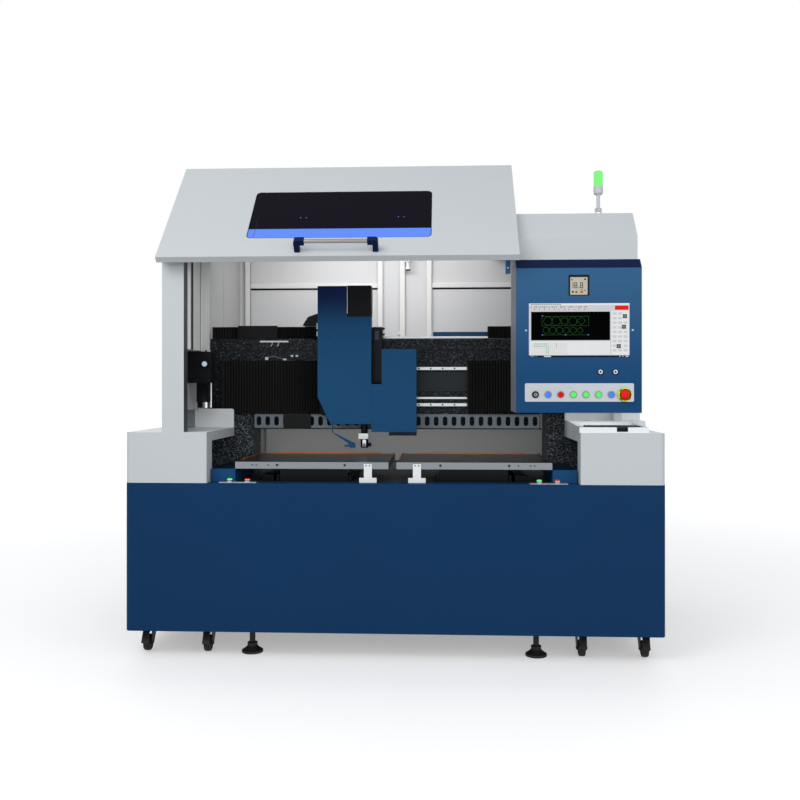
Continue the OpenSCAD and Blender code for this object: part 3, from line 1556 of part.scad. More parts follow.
levelling_foot(2);  // levelling_foot_3
levelling_foot(3);  // levelling_foot_4
caster_fork(caster_places[0]);  // caster_fork_1
caster_fork(caster_places[1]);  // caster_fork_2
caster_fork(caster_places[2]);  // caster_fork_3
caster_fork(caster_places[3]);  // caster_fork_4
caster_wheel(caster_places[0]);  // caster_wheel_1
caster_wheel(caster_places[1]);  // caster_wheel_2
caster_wheel(caster_places[2]);  // caster_wheel_3
caster_wheel(caster_places[3]);  // caster_wheel_4
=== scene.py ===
# %% [markdown]
# # Dressing a laser cutting machine
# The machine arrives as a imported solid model: a wheeled navy base, a granite gantry with a
# cutting head and a camera head, two shuttle tables, and a pale enclosure with a lift-up hood
# and a control cabinet. This script gives each of those solids its paint, metal, stone or
# plastic, and adds the small parts that a maker would bolt on last. Everything is in metres, in
# the model's frame.

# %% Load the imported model
import json
import math

import bmesh
import bpy
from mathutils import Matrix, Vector


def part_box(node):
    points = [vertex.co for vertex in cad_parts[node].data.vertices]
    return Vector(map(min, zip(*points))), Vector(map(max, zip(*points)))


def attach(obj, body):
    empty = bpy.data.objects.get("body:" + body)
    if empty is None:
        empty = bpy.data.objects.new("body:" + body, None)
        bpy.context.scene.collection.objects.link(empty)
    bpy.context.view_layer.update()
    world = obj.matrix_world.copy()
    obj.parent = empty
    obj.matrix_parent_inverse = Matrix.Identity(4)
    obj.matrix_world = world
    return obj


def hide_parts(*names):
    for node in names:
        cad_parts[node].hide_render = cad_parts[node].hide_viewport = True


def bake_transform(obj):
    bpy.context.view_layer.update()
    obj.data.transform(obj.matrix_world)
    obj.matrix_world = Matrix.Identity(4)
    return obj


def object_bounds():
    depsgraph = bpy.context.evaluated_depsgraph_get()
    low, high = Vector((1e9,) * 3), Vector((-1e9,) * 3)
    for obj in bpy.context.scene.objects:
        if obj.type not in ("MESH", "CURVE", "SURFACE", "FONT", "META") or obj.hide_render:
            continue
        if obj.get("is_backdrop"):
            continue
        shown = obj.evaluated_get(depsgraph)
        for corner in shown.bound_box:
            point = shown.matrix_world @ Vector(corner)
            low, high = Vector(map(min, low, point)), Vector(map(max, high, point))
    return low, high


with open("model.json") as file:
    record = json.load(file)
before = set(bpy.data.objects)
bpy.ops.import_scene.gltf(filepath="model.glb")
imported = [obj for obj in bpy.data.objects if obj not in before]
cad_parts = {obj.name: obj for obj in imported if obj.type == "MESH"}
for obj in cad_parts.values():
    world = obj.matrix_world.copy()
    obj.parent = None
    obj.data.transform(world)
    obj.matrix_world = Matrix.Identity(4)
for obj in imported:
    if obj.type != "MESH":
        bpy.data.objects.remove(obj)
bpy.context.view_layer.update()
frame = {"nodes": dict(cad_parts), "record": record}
nodes = frame["nodes"]

# %% [markdown]
# ## Helpers for materials
# Colours are written as sRGB hex values, the way a paint chart gives them, while shaders work in
# linear light, so one function converts them. Another adds a shader node with its settings and
# its inputs in one line: a plain value sets a socket, and another node's socket is linked. Most
# finishes are a colour and a gloss that drift with a noise pattern, over a shallow relief, and
# the last helpers make those.

# %% Colour and node helpers
MM = 0.001
finish = {}


def linear(hex_colour):
    """An sRGB hex colour as linear RGBA."""
    parts = [int(hex_colour[i:i + 2], 16) / 255 for i in (1, 3, 5)]
    return [p / 12.92 if p <= 0.04045 else ((p + 0.055) / 1.055) ** 2.4 for p in parts] + [1.0]


def scaled(colour, share):
    """A colour made deeper or paler by a share."""
    return [min(1.0, c * share) for c in colour[:3]] + [1.0]


def add_node(tree, kind, inputs=None, **settings):
    """Adds a shader node with its settings, and fills or links its inputs by name or number."""
    made = tree.nodes.new(kind)
    for name, value in settings.items():
        setattr(made, name, value)
    for name, value in (inputs or {}).items():
        if isinstance(value, bpy.types.NodeSocket):
            tree.links.new(value, made.inputs[name])
        else:
            made.inputs[name].default_value = value
    return made


def new_finish(name, **constants):
    """Adds a Principled material to finish, and gives the socket with places in metres."""
    material = finish[name] = bpy.data.materials.new(name)
    material.use_nodes = True
    tree = material.node_tree
    shader = tree.nodes["Principled BSDF"]
    for socket, value in constants.items():
        shader.inputs[socket.replace("_", " ")].default_value = value
    return tree, shader, add_node(tree, "ShaderNodeTexCoord").outputs["Object"]


def noise(tree, place, size, detail=2.0, **more):
    """The value of a noise pattern whose features have a size in metres."""
    return add_node(tree, "ShaderNodeTexNoise",
                    {"Vector": place, "Scale": 1 / size, "Detail": detail, **more}).outputs["Fac"]


def mixed(tree, share, first, second):
    """A colour between two, by a pattern's value."""
    return add_node(tree, "ShaderNodeMix", {0: share, 6: first, 7: second},
                    data_type="RGBA").outputs[2]


def ranged(tree, value, low, high, start=0.0, end=1.0, **settings):
    """A value that goes from low to high while a pattern's goes from start to end."""
    return add_node(tree, "ShaderNodeMapRange",
                    {"Value": value, "From Min": start, "From Max": end, "To Min": low,
                     "To Max": high}, **settings).outputs["Result"]


def surface(tree, shader, shade, relief, strength, depth, gloss=None):
    """Gives a shader its shade, a relief with a depth in mm and, if given, a varying gloss."""
    tree.links.new(shade, shader.inputs["Base Color"])
    bump = add_node(tree, "ShaderNodeBump",
                    {"Height": relief, "Strength": strength, "Distance": depth * MM})
    tree.links.new(bump.outputs["Normal"], shader.inputs["Normal"])
    if gloss is not None:
        tree.links.new(gloss, shader.inputs["Roughness"])


print("helpers ready")

# %% [markdown]
# ## Powder coat
# The sheet-metal covers are powder coated: a dry polymer powder is melted onto the steel, and it
# sets with a faint orange-peel surface and a satin gloss. Two noise patterns give it: a broad one
# that lets the shade drift by a percent or two, and a fine one that tilts the surface. Real
# orange peel is 2 to 3 mm across, and it is drawn at 5 mm here so that it shows in the render.
# The control panel's blue is painted paler towards its top as painted light, and the head covers'
# blue darker towards their top as painted shade.

# %% Powder-coat finishes
def powder_coat(name, hex_colour, roughness=0.42, lift=0.02, shine=0.25, fade=None):
    """A satin powder coat: broad drift of shade, fine orange peel, and a slightly uneven gloss.

    A fade is a second colour with the heights in metres where it starts and is reached.
    """
    tree, shader, place = new_finish(name, IOR=1.5, Specular_IOR_Level=shine)
    colour = linear(hex_colour)
    broad = noise(tree, place, 420 * MM, 3.0)
    shade = mixed(tree, broad, scaled(colour, 1 - lift), scaled(colour, 1 + lift))
    if fade:
        second, start, reached = fade
        height = add_node(tree, "ShaderNodeSeparateXYZ", {"Vector": place}).outputs["Z"]
        share = ranged(tree, height, 0.0, 1.0, start, reached, interpolation_type="SMOOTHSTEP")
        shade = mixed(tree, share, shade, linear(second))
    surface(tree, shader, shade, noise(tree, place, 5 * MM), 0.25, 0.08,
            ranged(tree, broad, roughness - 0.05, roughness + 0.05))


powder_coat("navy_powder_coat", "#13375d", lift=0.06, shine=0.06)
powder_coat("dark_navy_powder_coat", "#0a1b40", lift=0.06, shine=0.06)
# A paler blue for the base's front top edge: a painted highlight.
powder_coat("rim_painted_highlight_blue", "#2c5c92", lift=0.06, shine=0.1)
# A dark teal for the way covers' tops, which lie in shade under the slab: painted shade.
powder_coat("way_cover_painted_shade_teal", "#081b2a", lift=0.06, shine=0.04)
# The blue turns paler from 1.2 m to 1.75 m up, as painted light on the control panel's top; the
# head blue turns darker from 1.5 m to 1.68 m up, as painted shade on the heads' tops.
powder_coat("blue_coat_painted_light_top", "#184672", 0.36, 0.06, 0.07, fade=("#356088", 1.2, 1.75))
powder_coat("head_coat_painted_shade_top", "#1d4e76", 0.4, 0.06, 0.07, fade=("#14224f", 1.5, 1.68))
powder_coat("light_grey_powder_coat", "#c6cccf")
powder_coat("white_powder_coat", "#eaeef0")
powder_coat("inner_grey_powder_coat", "#dfdfe0", 0.5)
# Greys that stand for light and shade in the chamber: the three darker ones are painted shade, the
# palest is painted light.
powder_coat("painted_shade_grey", "#7c8288", 0.5)
powder_coat("painted_deep_shade_grey", "#43474b", 0.5)
powder_coat("painted_light_grey", "#f0efed", 0.5)
powder_coat("painted_soft_shade_grey", "#c3c3c3", 0.5)
powder_coat("black_powder_coat", "#101113", 0.5, 0.06, 0.12)
print("powder coats:", ", ".join(finish))

# %% [markdown]
# ## Stone and metal
# The bed and the gantry are black granite, ground flat and left with a dull polish. Under the
# light the stone shows short pale feldspar crystals on a near-black ground. They are 3 to 5 mm
# long in the real stone and are drawn at 5 mm by 20 mm, so that they show. The beam, which the
# lamps reach, gets a copy of the stone painted a shade darker than the legs and the bed: painted
# shade that offsets its light. The rails are ground bearing steel, the tables are anodised
# aluminium with a fine brushed line along their length.

# %% Granite, steel and aluminium
def granite(name, ground, cloud, crystal):
    """Ground black granite: dark stone under short pale crystals that lie three ways."""
    tree, shader, place = new_finish(name, Roughness=0.45, IOR=1.54, Specular_IOR_Level=0.1)
    clouds = noise(tree, place, 45 * MM, 5.0, Roughness=0.65)
    shade = mixed(tree, clouds, linear(ground), linear(cloud))
    for turn, length in ((38, 4.5), (-47, 4.0), (8, 3.0)):
        lie = add_node(tree, "ShaderNodeMapping",
                       {"Vector": place, "Rotation": (0.3, math.radians(turn), 0.4),
                        "Scale": (length, 1.0, 1.0)}, vector_type="TEXTURE").outputs["Vector"]
        grain = noise(tree, lie, 5 * MM, Roughness=0.6)
        shade = mixed(tree, ranged(tree, grain, 0.0, 0.8, 0.57, 0.7), shade, linear(crystal))
    surface(tree, shader, shade, clouds, 0.2, 0.1)


def machined_metal(name, hex_colour, roughness, depth=0.02):
    """A metal with machining or brushing marks: noise drawn out along X."""
    tree, shader, place = new_finish(name, Metallic=1.0)
    drawn_out = add_node(tree, "ShaderNodeMapping", {"Vector": place, "Scale": (0.3, 60.0, 60.0)})
    marks = noise(tree, drawn_out.outputs["Vector"], 60 * MM, 3.0)
    colour = linear(hex_colour)
    surface(tree, shader, mixed(tree, marks, scaled(colour, 0.85), scaled(colour, 1.12)), marks,
            0.3, depth, ranged(tree, marks, roughness - 0.06, roughness + 0.08))


granite("black_granite", "#0e0f11", "#25292d", "#8d969e")
# A darker copy of the stone for the beam, which the lamps reach: painted shade.
granite("beam_granite_painted_darker", "#08090a", "#17191c", "#5b646d")
machined_metal("ground_steel", "#d4d8db", 0.28)
machined_metal("anodised_aluminium", "#868d92", 0.42)
machined_metal("grey_anodised", "#5e6064", 0.45)
machined_metal("dark_anodised", "#3a3d42", 0.3)
machined_metal("magnet_black", "#2c3033", 0.4)
machined_metal("black_anodised", "#232427", 0.42)
machined_metal("chrome", "#dfe2e4", 0.14, 0.005)
machined_metal("brushed_plate", "#b9bec4", 0.42)
machined_metal("satin_steel", "#948f8c", 0.3)
machined_metal("bezel_steel", "#84868e", 0.5)
machined_metal("copper_strip", "#c8763c", 0.42)
print("finishes so far:", len(finish))

# %% [markdown]
# ## Plastics, rubber and cloth
# Moulded plastics have a fine spark-eroded grain and a soft gloss, and rubber is rougher. The
# bellows are a coated cloth in fine upright pleats, with painted light on the ridges and painted
# shade between them. Lamps and screens give off light of their own, so they use the shader's
# emission; the gauge face on the air unit glows the same way, as painted light.

# %% Plastic, rubber, cloth and glowing finishes
def moulded(name, hex_colour, roughness=0.4, grain=1.5, depth=0.05, shine=0.3):
    """A moulded or coated surface with a fine grain; grain and depth are in mm."""
    tree, shader, place = new_finish(name, IOR=1.5, Specular_IOR_Level=shine)
    pattern = noise(tree, place, grain * MM)
    colour = linear(hex_colour)
    surface(tree, shader, mixed(tree, pattern, scaled(colour, 0.9), scaled(colour, 1.1)), pattern,
            0.3, depth, ranged(tree, pattern, roughness - 0.05, roughness + 0.06))


def glowing(name, hex_colour, strength=0.95, roughness=0.25):
    """A lit surface: a dark gloss under an emission of the colour, a little uneven as LEDs are."""
    tree, shader, place = new_finish(name, Roughness=roughness, IOR=1.5, Specular_IOR_Level=0.0)
    colour = linear(hex_colour)
    shader.inputs["Base Color"].default_value = scaled(colour, 0.02)
    shader.inputs["Emission Strength"].default_value = strength
    tree.links.new(mixed(tree, noise(tree, place, 40 * MM), scaled(colour, 0.94), colour),
                   shader.inputs["Emission Color"])


def pleated_cloth(name, hex_colour, pitch=6.8):
    """Coated bellows cloth: fine upright pleats, with painted light on their ridges and painted
    shade between.
    """
    tree, shader, place = new_finish(name, Roughness=0.5, IOR=1.5, Specular_IOR_Level=0.15)
    colour = linear(hex_colour)
    folds = add_node(tree, "ShaderNodeTexWave",
                     {"Vector": place, "Scale": 0.314 / (pitch * MM), "Distortion": 0.15,
                      "Detail": 1.0}, wave_type="BANDS", bands_direction="X").outputs["Fac"]
    surface(tree, shader, mixed(tree, folds, scaled(colour, 0.35), scaled(colour, 1.25)), folds,
            0.6, 1.2)


pleated_cloth("bellows_cloth", "#141414")
moulded("chain_plastic", "#6b767f")
moulded("black_plastic", "#101113", shine=0.15)
moulded("gloss_black_plastic", "#0b0c0e", 0.12, depth=0.01)
moulded("black_rubber", "#131313", 0.6, grain=3)
moulded("cast_black", "#17181a", 0.5, grain=4, depth=0.3)
moulded("guard_yellow", "#fdf24a", 0.45, shine=0.05)
# An olive for the inside of the yellow guard, which lies in shade: painted shade.
moulded("guard_painted_shade_olive", "#8a8f22", 0.5, shine=0.05)
moulded("stop_red", "#f02326", shine=0.05)
moulded("key_plastic", "#2c363f", 0.45)
moulded("pale_plastic", "#c9ccd1")
moulded("window_tint", "#110f1a", 0.12, grain=60, depth=0.02, shine=0.02)
glowing("lens_blue", "#4c8eff")
glowing("lens_red", "#e8241f", 0.8)
glowing("lens_green", "#62f873", 0.97)
glowing("lens_pale", "#e6efe8", 0.9)
# The gauge face glows though it is no lamp: painted light.
glowing("gauge_face_painted_glow", "#c3d0ea", 0.85)
glowing("lamp_green", "#8cff8c", 0.95, 0.35)
glowing("window_glow", "#6992fe", 1.0, 0.1)
glowing("lcd_beige", "#c6c2b2", 0.9, 0.3)
glowing("screen_black", "#050605", 0.9, 0.3)
for tone, hex_colour in (("white", "#e9eaec"), ("grey", "#cfd2d5"), ("dark", "#1c2430"),
                         ("green", "#5fae5f"), ("leaf", "#3d7b41"), ("moss", "#2f4a33"),
                         ("red", "#e02a2a"), ("blue", "#5a78c8")):
    glowing("screen_" + tone, hex_colour, roughness=0.2)
print("finishes in all:", len(finish))

# %% [markdown]
# ## Camera
# The view is nearly square on, from about four metres in front and a little above table height,
# turned a few degrees to the left. The horizontal aim keeps the uprights parallel, so the frame
# is set with the lens shift and not by tilting the camera.

# %% Set the camera
def add_object(name, data):
    """A new object in the scene."""
    thing = bpy.data.objects.new(name, data)
    bpy.context.scene.collection.objects.link(thing)
    return thing


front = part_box("base_cabinet")[0].y
view = bpy.data.cameras.new("front_view")
view.lens, view.sensor_width, view.shift_y = 40.95, 36.0, -0.0141
camera = add_object("front_view", view)
camera.location = (0.2311, front - 4.023, 1.207)
camera.rotation_euler = (math.radians(90), 0, math.radians(2.77))
bpy.context.scene.camera = camera
print("camera", [round(v, 3) for v in camera.location])

# %% [markdown]
# ## Floor and light
# The studio is a plain pale floor under a pale sky. The floor keeps the machine's soft shadow;
# only to the camera does it add a little light of its own, so that it runs into the white
# background. One broad lamp to the upper left gives the covers their shape, a weaker one fills
# from the right, and a wide one in front lifts the front faces without showing in the metal. A
# long one under the roof stands for the work light inside the chamber. A very weak one under
# the control cabinet stands for the light that the console gets from the covers round it.

# %% Floor, sky and lamps
def seen_directly(tree):
    """1 for rays from the camera, and for those that reach it by a mirror or through glass."""
    path = add_node(tree, "ShaderNodeLightPath").outputs
    mirror = add_node(tree, "ShaderNodeMath", {0: path["Is Camera Ray"], 1: path["Is Glossy Ray"]},
                      operation="MAXIMUM").outputs[0]
    return add_node(tree, "ShaderNodeMath", {0: mirror, 1: path["Is Transmission Ray"]},
                    operation="MAXIMUM").outputs[0]


def object_from(bm, name, finishes):
    """Turns a mesh in the making into an object with its finishes."""
    mesh = bpy.data.meshes.new(name)
    bm.to_mesh(mesh)
    bm.free()
    for each in finishes:
        mesh.materials.append(finish[each])
    return add_object(name, mesh)


tree, shader, place = new_finish("floor_paint", Roughness=0.6)
seen = seen_directly(tree)
tree.links.new(mixed(tree, seen, linear("#a4a4a5"), linear("#e4e4e5")),
               shader.inputs["Base Color"])
shader.inputs["Emission Color"].default_value = (1, 1, 1, 1)
away = add_node(tree, "ShaderNodeVectorMath", {0: place}, operation="LENGTH").outputs["Value"]
glow = add_node(tree, "ShaderNodeMath", {0: seen, 1: ranged(tree, away, 0.36, 0.62, 1.5, 7.0)},
                operation="MULTIPLY")
tree.links.new(glow.outputs[0], shader.inputs["Emission Strength"])
bm = bmesh.new()
bmesh.ops.create_grid(bm, x_segments=24, y_segments=24, size=30)
object_from(bm, "studio_floor", ["floor_paint"])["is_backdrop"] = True

world = bpy.data.worlds.new("studio_sky")
world.use_nodes = True
tree = world.node_tree
tree.nodes.clear()
sky = mixed(tree, seen_directly(tree), (0.5, 0.51, 0.52, 1.0), (1.0, 1.0, 1.0, 1.0))
back = add_node(tree, "ShaderNodeBackground", {"Color": sky, "Strength": 1.0})
add_node(tree, "ShaderNodeOutputWorld", {"Surface": back.outputs["Background"]})
bpy.context.scene.world = world


def area_lamp(name, place, aim, size, watts, mirrored=True):
    """A soft rectangular lamp that faces a point; one not mirrored makes no highlight."""
    lamp = bpy.data.lights.new(name, "AREA")
    lamp.shape = "RECTANGLE"
    lamp.size, lamp.size_y, lamp.energy = size[0], size[1], watts
    thing = add_object(name, lamp)
    thing.location = place
    thing.rotation_euler = (Vector(aim) - Vector(place)).to_track_quat("-Z", "Y").to_euler()
    thing.visible_glossy = mirrored


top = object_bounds()[1][2]
shade_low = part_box("control_cabinet")[0]
console_x = shade_low.x + 282 * MM
area_lamp("key_lamp", (-2.6, front - 3.4, top + 1.9), (0, 0, 1.0), (3.0, 2.4), 93)
area_lamp("fill_lamp", (3.4, front - 3.0, top - 0.4), (0, 0, 1.0), (2.4, 2.4), 22)
area_lamp("front_lamp", (0.6, front - 4.6, 1.9), (0, 0, 1.1), (3.2, 2.0), 62, mirrored=False)
area_lamp("chamber_lamp", (-0.12, 0.05, top - 0.16), (0.0, 0.6, 1.3), (1.1, 0.26), 7.2)
area_lamp("console_lamp", (console_x, front + 0.26, shade_low.z - 7 * MM),
          (console_x, front + 0.30, shade_low.z - 0.201), (0.46, 0.3), 0.35, mirrored=False)
bpy.context.scene.view_settings.view_transform = "Standard"
print("floor, sky and five lamps")

# %% [markdown]
# ## Sheet metal with soft edges
# Every solid arrives with knife-sharp corners, while folded sheet has a bend radius and machined
# parts have a broken edge, and that is what catches the light. A dressed copy is made of a
# solid's mesh: coplanar triangles are joined, then each sharp edge is bevelled by its real
# radius. The copy stands for the solid and rides on the same body. Where one solid has more than
# one finish, a rule picks the finish's place in the list from a face's centre and direction.

# %% A helper that dresses a solid
body_of = {node: body for body, members in frame["record"]["behaviour"]["bodies"].items()
           for node in members}


def smooth_faces(mesh):
    """Smooth shading inside curved faces, crisp at edges sharper than 34 degrees."""
    mesh.polygons.foreach_set("use_smooth", [True] * len(mesh.polygons))
    mesh.set_sharp_from_angle(angle=math.radians(34))


def settle(thing, carrier):
    """Applies modifiers, then gives the piece the body of the solid under it."""
    bpy.context.view_layer.update()
    if thing.modifiers:
        shaped = bpy.data.meshes.new_from_object(
            thing.evaluated_get(bpy.context.evaluated_depsgraph_get()))
        thing.modifiers.clear()
        thing.data = shaped
    thing.data.name = thing.name
    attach(thing, body_of[carrier])


def dress(solid, finishes, radius=1.5, pick=None, cut_at=None):
    """A copy of a solid with its sharp edges rounded, in one or more finishes.

    An edge is rounded where it turns by more than 38 degrees and is long enough. A height
    in cut_at splits tall faces there, so that a finish can change at that height.
    """
    bm = bmesh.new()
    bm.from_mesh(nodes[solid].data)
    bmesh.ops.remove_doubles(bm, verts=bm.verts, dist=0.01 * MM)
    bmesh.ops.dissolve_limit(bm, angle_limit=math.radians(0.6), verts=bm.verts, edges=bm.edges)
    if cut_at is not None:
        bmesh.ops.bisect_plane(bm, geom=bm.verts[:] + bm.edges[:] + bm.faces[:],
                               plane_co=(0, 0, cut_at), plane_no=(0, 0, 1))
    sharp = [e for e in bm.edges if len(e.link_faces) == 2 and e.calc_length() > 2.5 * radius * MM
             and math.degrees(e.calc_face_angle(0)) > 38]
    if sharp:
        bmesh.ops.bevel(bm, geom=sharp, offset=radius * MM, segments=2, profile=0.5,
                        affect="EDGES", clamp_overlap=True, harden_normals=False)
    bm.normal_update()
    for face in bm.faces:
        face.material_index = int(pick(face.calc_center_median(), face.normal)) if pick else 0
    thing = object_from(bm, solid + "_dressed", finishes)
    smooth_faces(thing.data)
    thing.modifiers.new("flat_faces", "WEIGHTED_NORMAL").keep_sharp = True
    settle(thing, solid)
    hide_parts(solid)


# %% [markdown]
# ## Covers, walls and frames
# The big covers are folded from 2 to 4 mm sheet, so their edges are about 2 mm round. The inside
# of the chamber has a flatter and more neutral grey than the outside. On it the pillar faces and
# the posts are painted paler as painted light, while the grooves, slots, post sides, the side
# wall and the rear wall under the beam are painted darker as painted shade. The base's front top
# rim is a paler blue as a painted highlight, the pedestals' tops and set-back front faces are
# white as painted light, the way covers' tops are dark teal and the control cabinet's left side a
# darker grey as painted shade, and the control panel's top slope is a darker navy.

# %% Dress the base
wall_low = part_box("left_wall")[0]
# Upward faces along the front take the paler blue: a painted highlight on the lit edge.
dress("base_cabinet", ["navy_powder_coat", "rim_painted_highlight_blue"], 2.0,
      lambda c, n: n.z > 0.5 and c.y < wall_low.y + 60 * MM)
for pedestal in ("left_pedestal", "right_pedestal"):
    # Upward faces and the set-back front faces of the pedestals are white: painted light on the
    # grey.
    dress(pedestal, ["light_grey_powder_coat", "white_powder_coat"], 2.5,
          lambda c, n: n.z > 0.3 or n.y < -0.5 and c.y > wall_low.y + 40 * MM)
print("base dressed")

# %% Dress the left wall and the rear wall
OUTSIDE, INNER, LIT_PILLAR, GROOVE_SHADE, DEEP_SHADE, SIDE = range(6)
column_end, track_start, track_end, pillar_end = 61, 73, 115, 430
post_face, inner_face, pillar_side, pillar_face = 6, 40, 48, 111.7


def wall_finish(centre, normal):
    """Outside grey; on the chamber's side a paler grey on lit faces as painted light, and darker
    greys in the tracks, grooves, the gap at the post and the shaded side wall as painted shade.

    Depth is counted from the wall's front and inward from its outer face, both in mm.
    """
    depth, inward = (centre.y - wall_low.y) / MM, (centre.x - wall_low.x) / MM
    faces_in, across = normal.x > 0.5, abs(normal.y) > 0.9
    if inward < post_face and faces_in:
        return GROOVE_SHADE
    if depth < column_end:
        return DEEP_SHADE if faces_in and inward > 90 else OUTSIDE
    if inward > pillar_side and depth < pillar_end:
        if normal.y < -0.9 and track_start < depth < track_end:
            return DEEP_SHADE
        if abs(normal.z) > 0.4 or across or inward > pillar_face:
            return LIT_PILLAR if faces_in or across else INNER
        return DEEP_SHADE if depth < track_end else GROOVE_SHADE
    if faces_in:
        in_rear_slot = 940 < depth < 960 and inward < 46.5
        return GROOVE_SHADE if in_rear_slot else SIDE
    return INNER if inward > inner_face else OUTSIDE


# The pillar grey is painted light; the groove, deep-groove and side greys are painted shade.
dress("left_wall", ["light_grey_powder_coat", "inner_grey_powder_coat", "painted_light_grey",
                    "painted_shade_grey", "painted_deep_shade_grey", "painted_soft_shade_grey"], 2.0, wall_finish)
rear_low, rear_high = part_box("rear_wall")
rear_face, slot_low = rear_high.y - 50 * MM, rear_high.z - 428 * MM
behind_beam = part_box("granite_gantry")[1].z - 3 * MM
FIELD, BACK_SIDE, SLOT_SHADOW, POST, SHADED_POST_SIDE, SHADED_LOW_FIELD = range(6)


def rear_finish(centre, normal):
    """The slots are black as painted shade, the posts and the bars over the slots a paler grey as
    painted light, and their sides and the field under the beam darker as painted shade.
    """
    if centre.y > rear_face + 0.3 * MM:
        in_slot = slot_low - 1 * MM < centre.z < slot_low + 10 * MM
        if in_slot and centre.y < rear_face + 13 * MM:
            return SLOT_SHADOW
        return BACK_SIDE if normal.y > 0.5 else FIELD
    # Below the top of the beam the rear wall lies in the beam's shadow, which is painted in a
    # darker grey.
    if centre.z < behind_beam:
        return SHADED_LOW_FIELD
    if normal.y < -0.5:
        return FIELD if centre.y > rear_face - 0.3 * MM else POST
    return SHADED_POST_SIDE if abs(normal.x) > 0.5 else FIELD


# The post grey is painted light; the black slots, the post sides and the low field are painted
# shade.
dress("rear_wall", ["inner_grey_powder_coat", "light_grey_powder_coat", "black_powder_coat",
                    "painted_light_grey", "painted_shade_grey", "painted_soft_shade_grey"], 1.0, rear_finish, behind_beam)
print("walls dressed; the rear wall changes finish at height", round(behind_beam, 3))

# %% Dress the other covers
dress("roof_panel", ["light_grey_powder_coat", "inner_grey_powder_coat"], 2.0,
      lambda c, n: n.z < -0.5 or n.x < -0.5)
dress("right_housing", ["light_grey_powder_coat"], 2.5)
# The cabinet's left side takes a darker grey: painted shade.
dress("control_cabinet", ["light_grey_powder_coat", "painted_shade_grey"], 2.0, lambda c, n: n.x < -0.9)
panel_low, panel_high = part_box("control_panel")
dress("control_panel", ["blue_coat_painted_light_top", "dark_navy_powder_coat"], 1.5,
      lambda c, n: n.z > 0.3 and c.z > panel_high.z - 50 * MM)
dress("hood_panel", ["light_grey_powder_coat"], 2.5)
# The way covers' upward faces take the dark teal: painted shade.
dress("way_covers", ["blue_coat_painted_light_top", "way_cover_painted_shade_teal"], 2.0, lambda c, n: n.z > 0.5)
# The head covers' blue turns darker towards their top: painted shade.
dress("cutting_head_cover", ["head_coat_painted_shade_top"], 1.5)
eye_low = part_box("vision_head")[0]
dress("vision_head", ["head_coat_painted_shade_top", "black_anodised"], 1.5,
      lambda c, n: c.y > eye_low.y + 64 * MM or c.z < eye_low.z + 16.5 * MM)
print("covers dressed")

# %% [markdown]
# ## Granite, drives and tables
# The granite gets a 1 mm broken edge. On the beam the guide rails are bright ground steel with
# a dark magnet track between them. Each table is a ribbed aluminium plate with a dark hard
# anodised top, copper-coloured stop strips round it, and a white bracket at the front.

# %% Dress the granite, the rails, the chain and the tables
rail_low, rail_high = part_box("gantry_rails")


def rail_finish(centre, normal):
    """The magnet track is dark, the block behind the beam is blue, the rest is bright."""
    if centre.y > rail_high.y - 7 * MM:
        return 2
    in_track = rail_low.z + 75 * MM < centre.z < rail_low.z + 175 * MM
    return in_track and centre.y < rail_low.y + 21 * MM


BODY, TOP, STRIP, BRACKET, SHADED, FRONT_BAR = range(6)


def table_finish(solid):
    """Picks top, strips, bracket or body by where a face is on that table."""
    low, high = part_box(solid)
    body_top = high.z - 5 * MM
    body_foot = body_top - 32 * MM
    bracket_back = low.y + 5.9 * MM

    def pick(centre, normal):
        faces_front = normal.y < -0.9
        if centre.y < bracket_back:
            return BRACKET
        if centre.z > body_top + 0.4 * MM:
            return TOP if centre.x > high.x - 9 * MM and high.x > 0.1 else STRIP
        if normal.z > 0.9 and centre.z > body_top - 2 * MM:
            return TOP
        if centre.z > body_foot:
            return SHADED if faces_front and centre.y > low.y + 8 * MM else BODY
        return FRONT_BAR if faces_front else SHADED
    return pick


dress("granite_bed", ["black_granite"], 1.0)
beam_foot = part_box("left_bellows")[0].z
# Above its foot the beam takes the darker copy of the stone: painted shade.
dress("granite_gantry", ["black_granite", "beam_granite_painted_darker"], 1.0,
      lambda c, n: c.z > beam_foot + 7 * MM, beam_foot)
dress("gantry_rails", ["ground_steel", "magnet_black", "blue_coat_painted_light_top"], 0.5, rail_finish)
for table in ("left_table", "right_table"):
    dress(table, ["anodised_aluminium", "dark_anodised", "copper_strip", "white_powder_coat",
                  "black_anodised", "grey_anodised"], 0.6, table_finish(table))
chain_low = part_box("energy_chain")[0]
dress("energy_chain", ["chain_plastic", "black_plastic"], 0.6,
      lambda c, n: not (4.5 * MM < c.y - chain_low.y < 11.5 * MM
                        and 4.5 * MM < c.z - chain_low.z < 77 * MM))
dress("table_stages", ["black_anodised"], 1.0)
dress("x_carriage", ["black_anodised"], 1.5)
dress("cutting_optics", ["black_powder_coat"], 1.5)
air_low, air_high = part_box("air_unit")
dress("air_unit", ["black_powder_coat", "ground_steel"], 2.0,
      lambda c, n: c.z < air_low.z + 27 * MM
      or abs(c.x - air_low.x - 103 * MM) < 7 * MM and c.z < air_high.z - 149 * MM)
handle_x = sum(corner.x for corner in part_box("hood_handle")) / 2
dress("hood_handle", ["dark_navy_powder_coat", "satin_steel"], 1.5,
      lambda c, n: abs(c.x - handle_x) < 120 * MM)
dress("start_plates", ["brushed_plate"], 0.5)
guard_low, guard_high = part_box("estop_guard")
guard_axis = (guard_low + guard_high) / 2
# Faces that look in towards the guard's axis, and its floor, take the olive: painted shade.
dress("estop_guard", ["guard_yellow", "guard_painted_shade_olive"], 0.6,
      lambda c, n: (c.x - guard_axis.x) * n.x + (c.z - guard_axis.z) * n.z < -3 * MM
      or n.y < -0.9 and c.y > guard_low.y + 4 * MM)
print("granite, rails, chain and tables dressed")

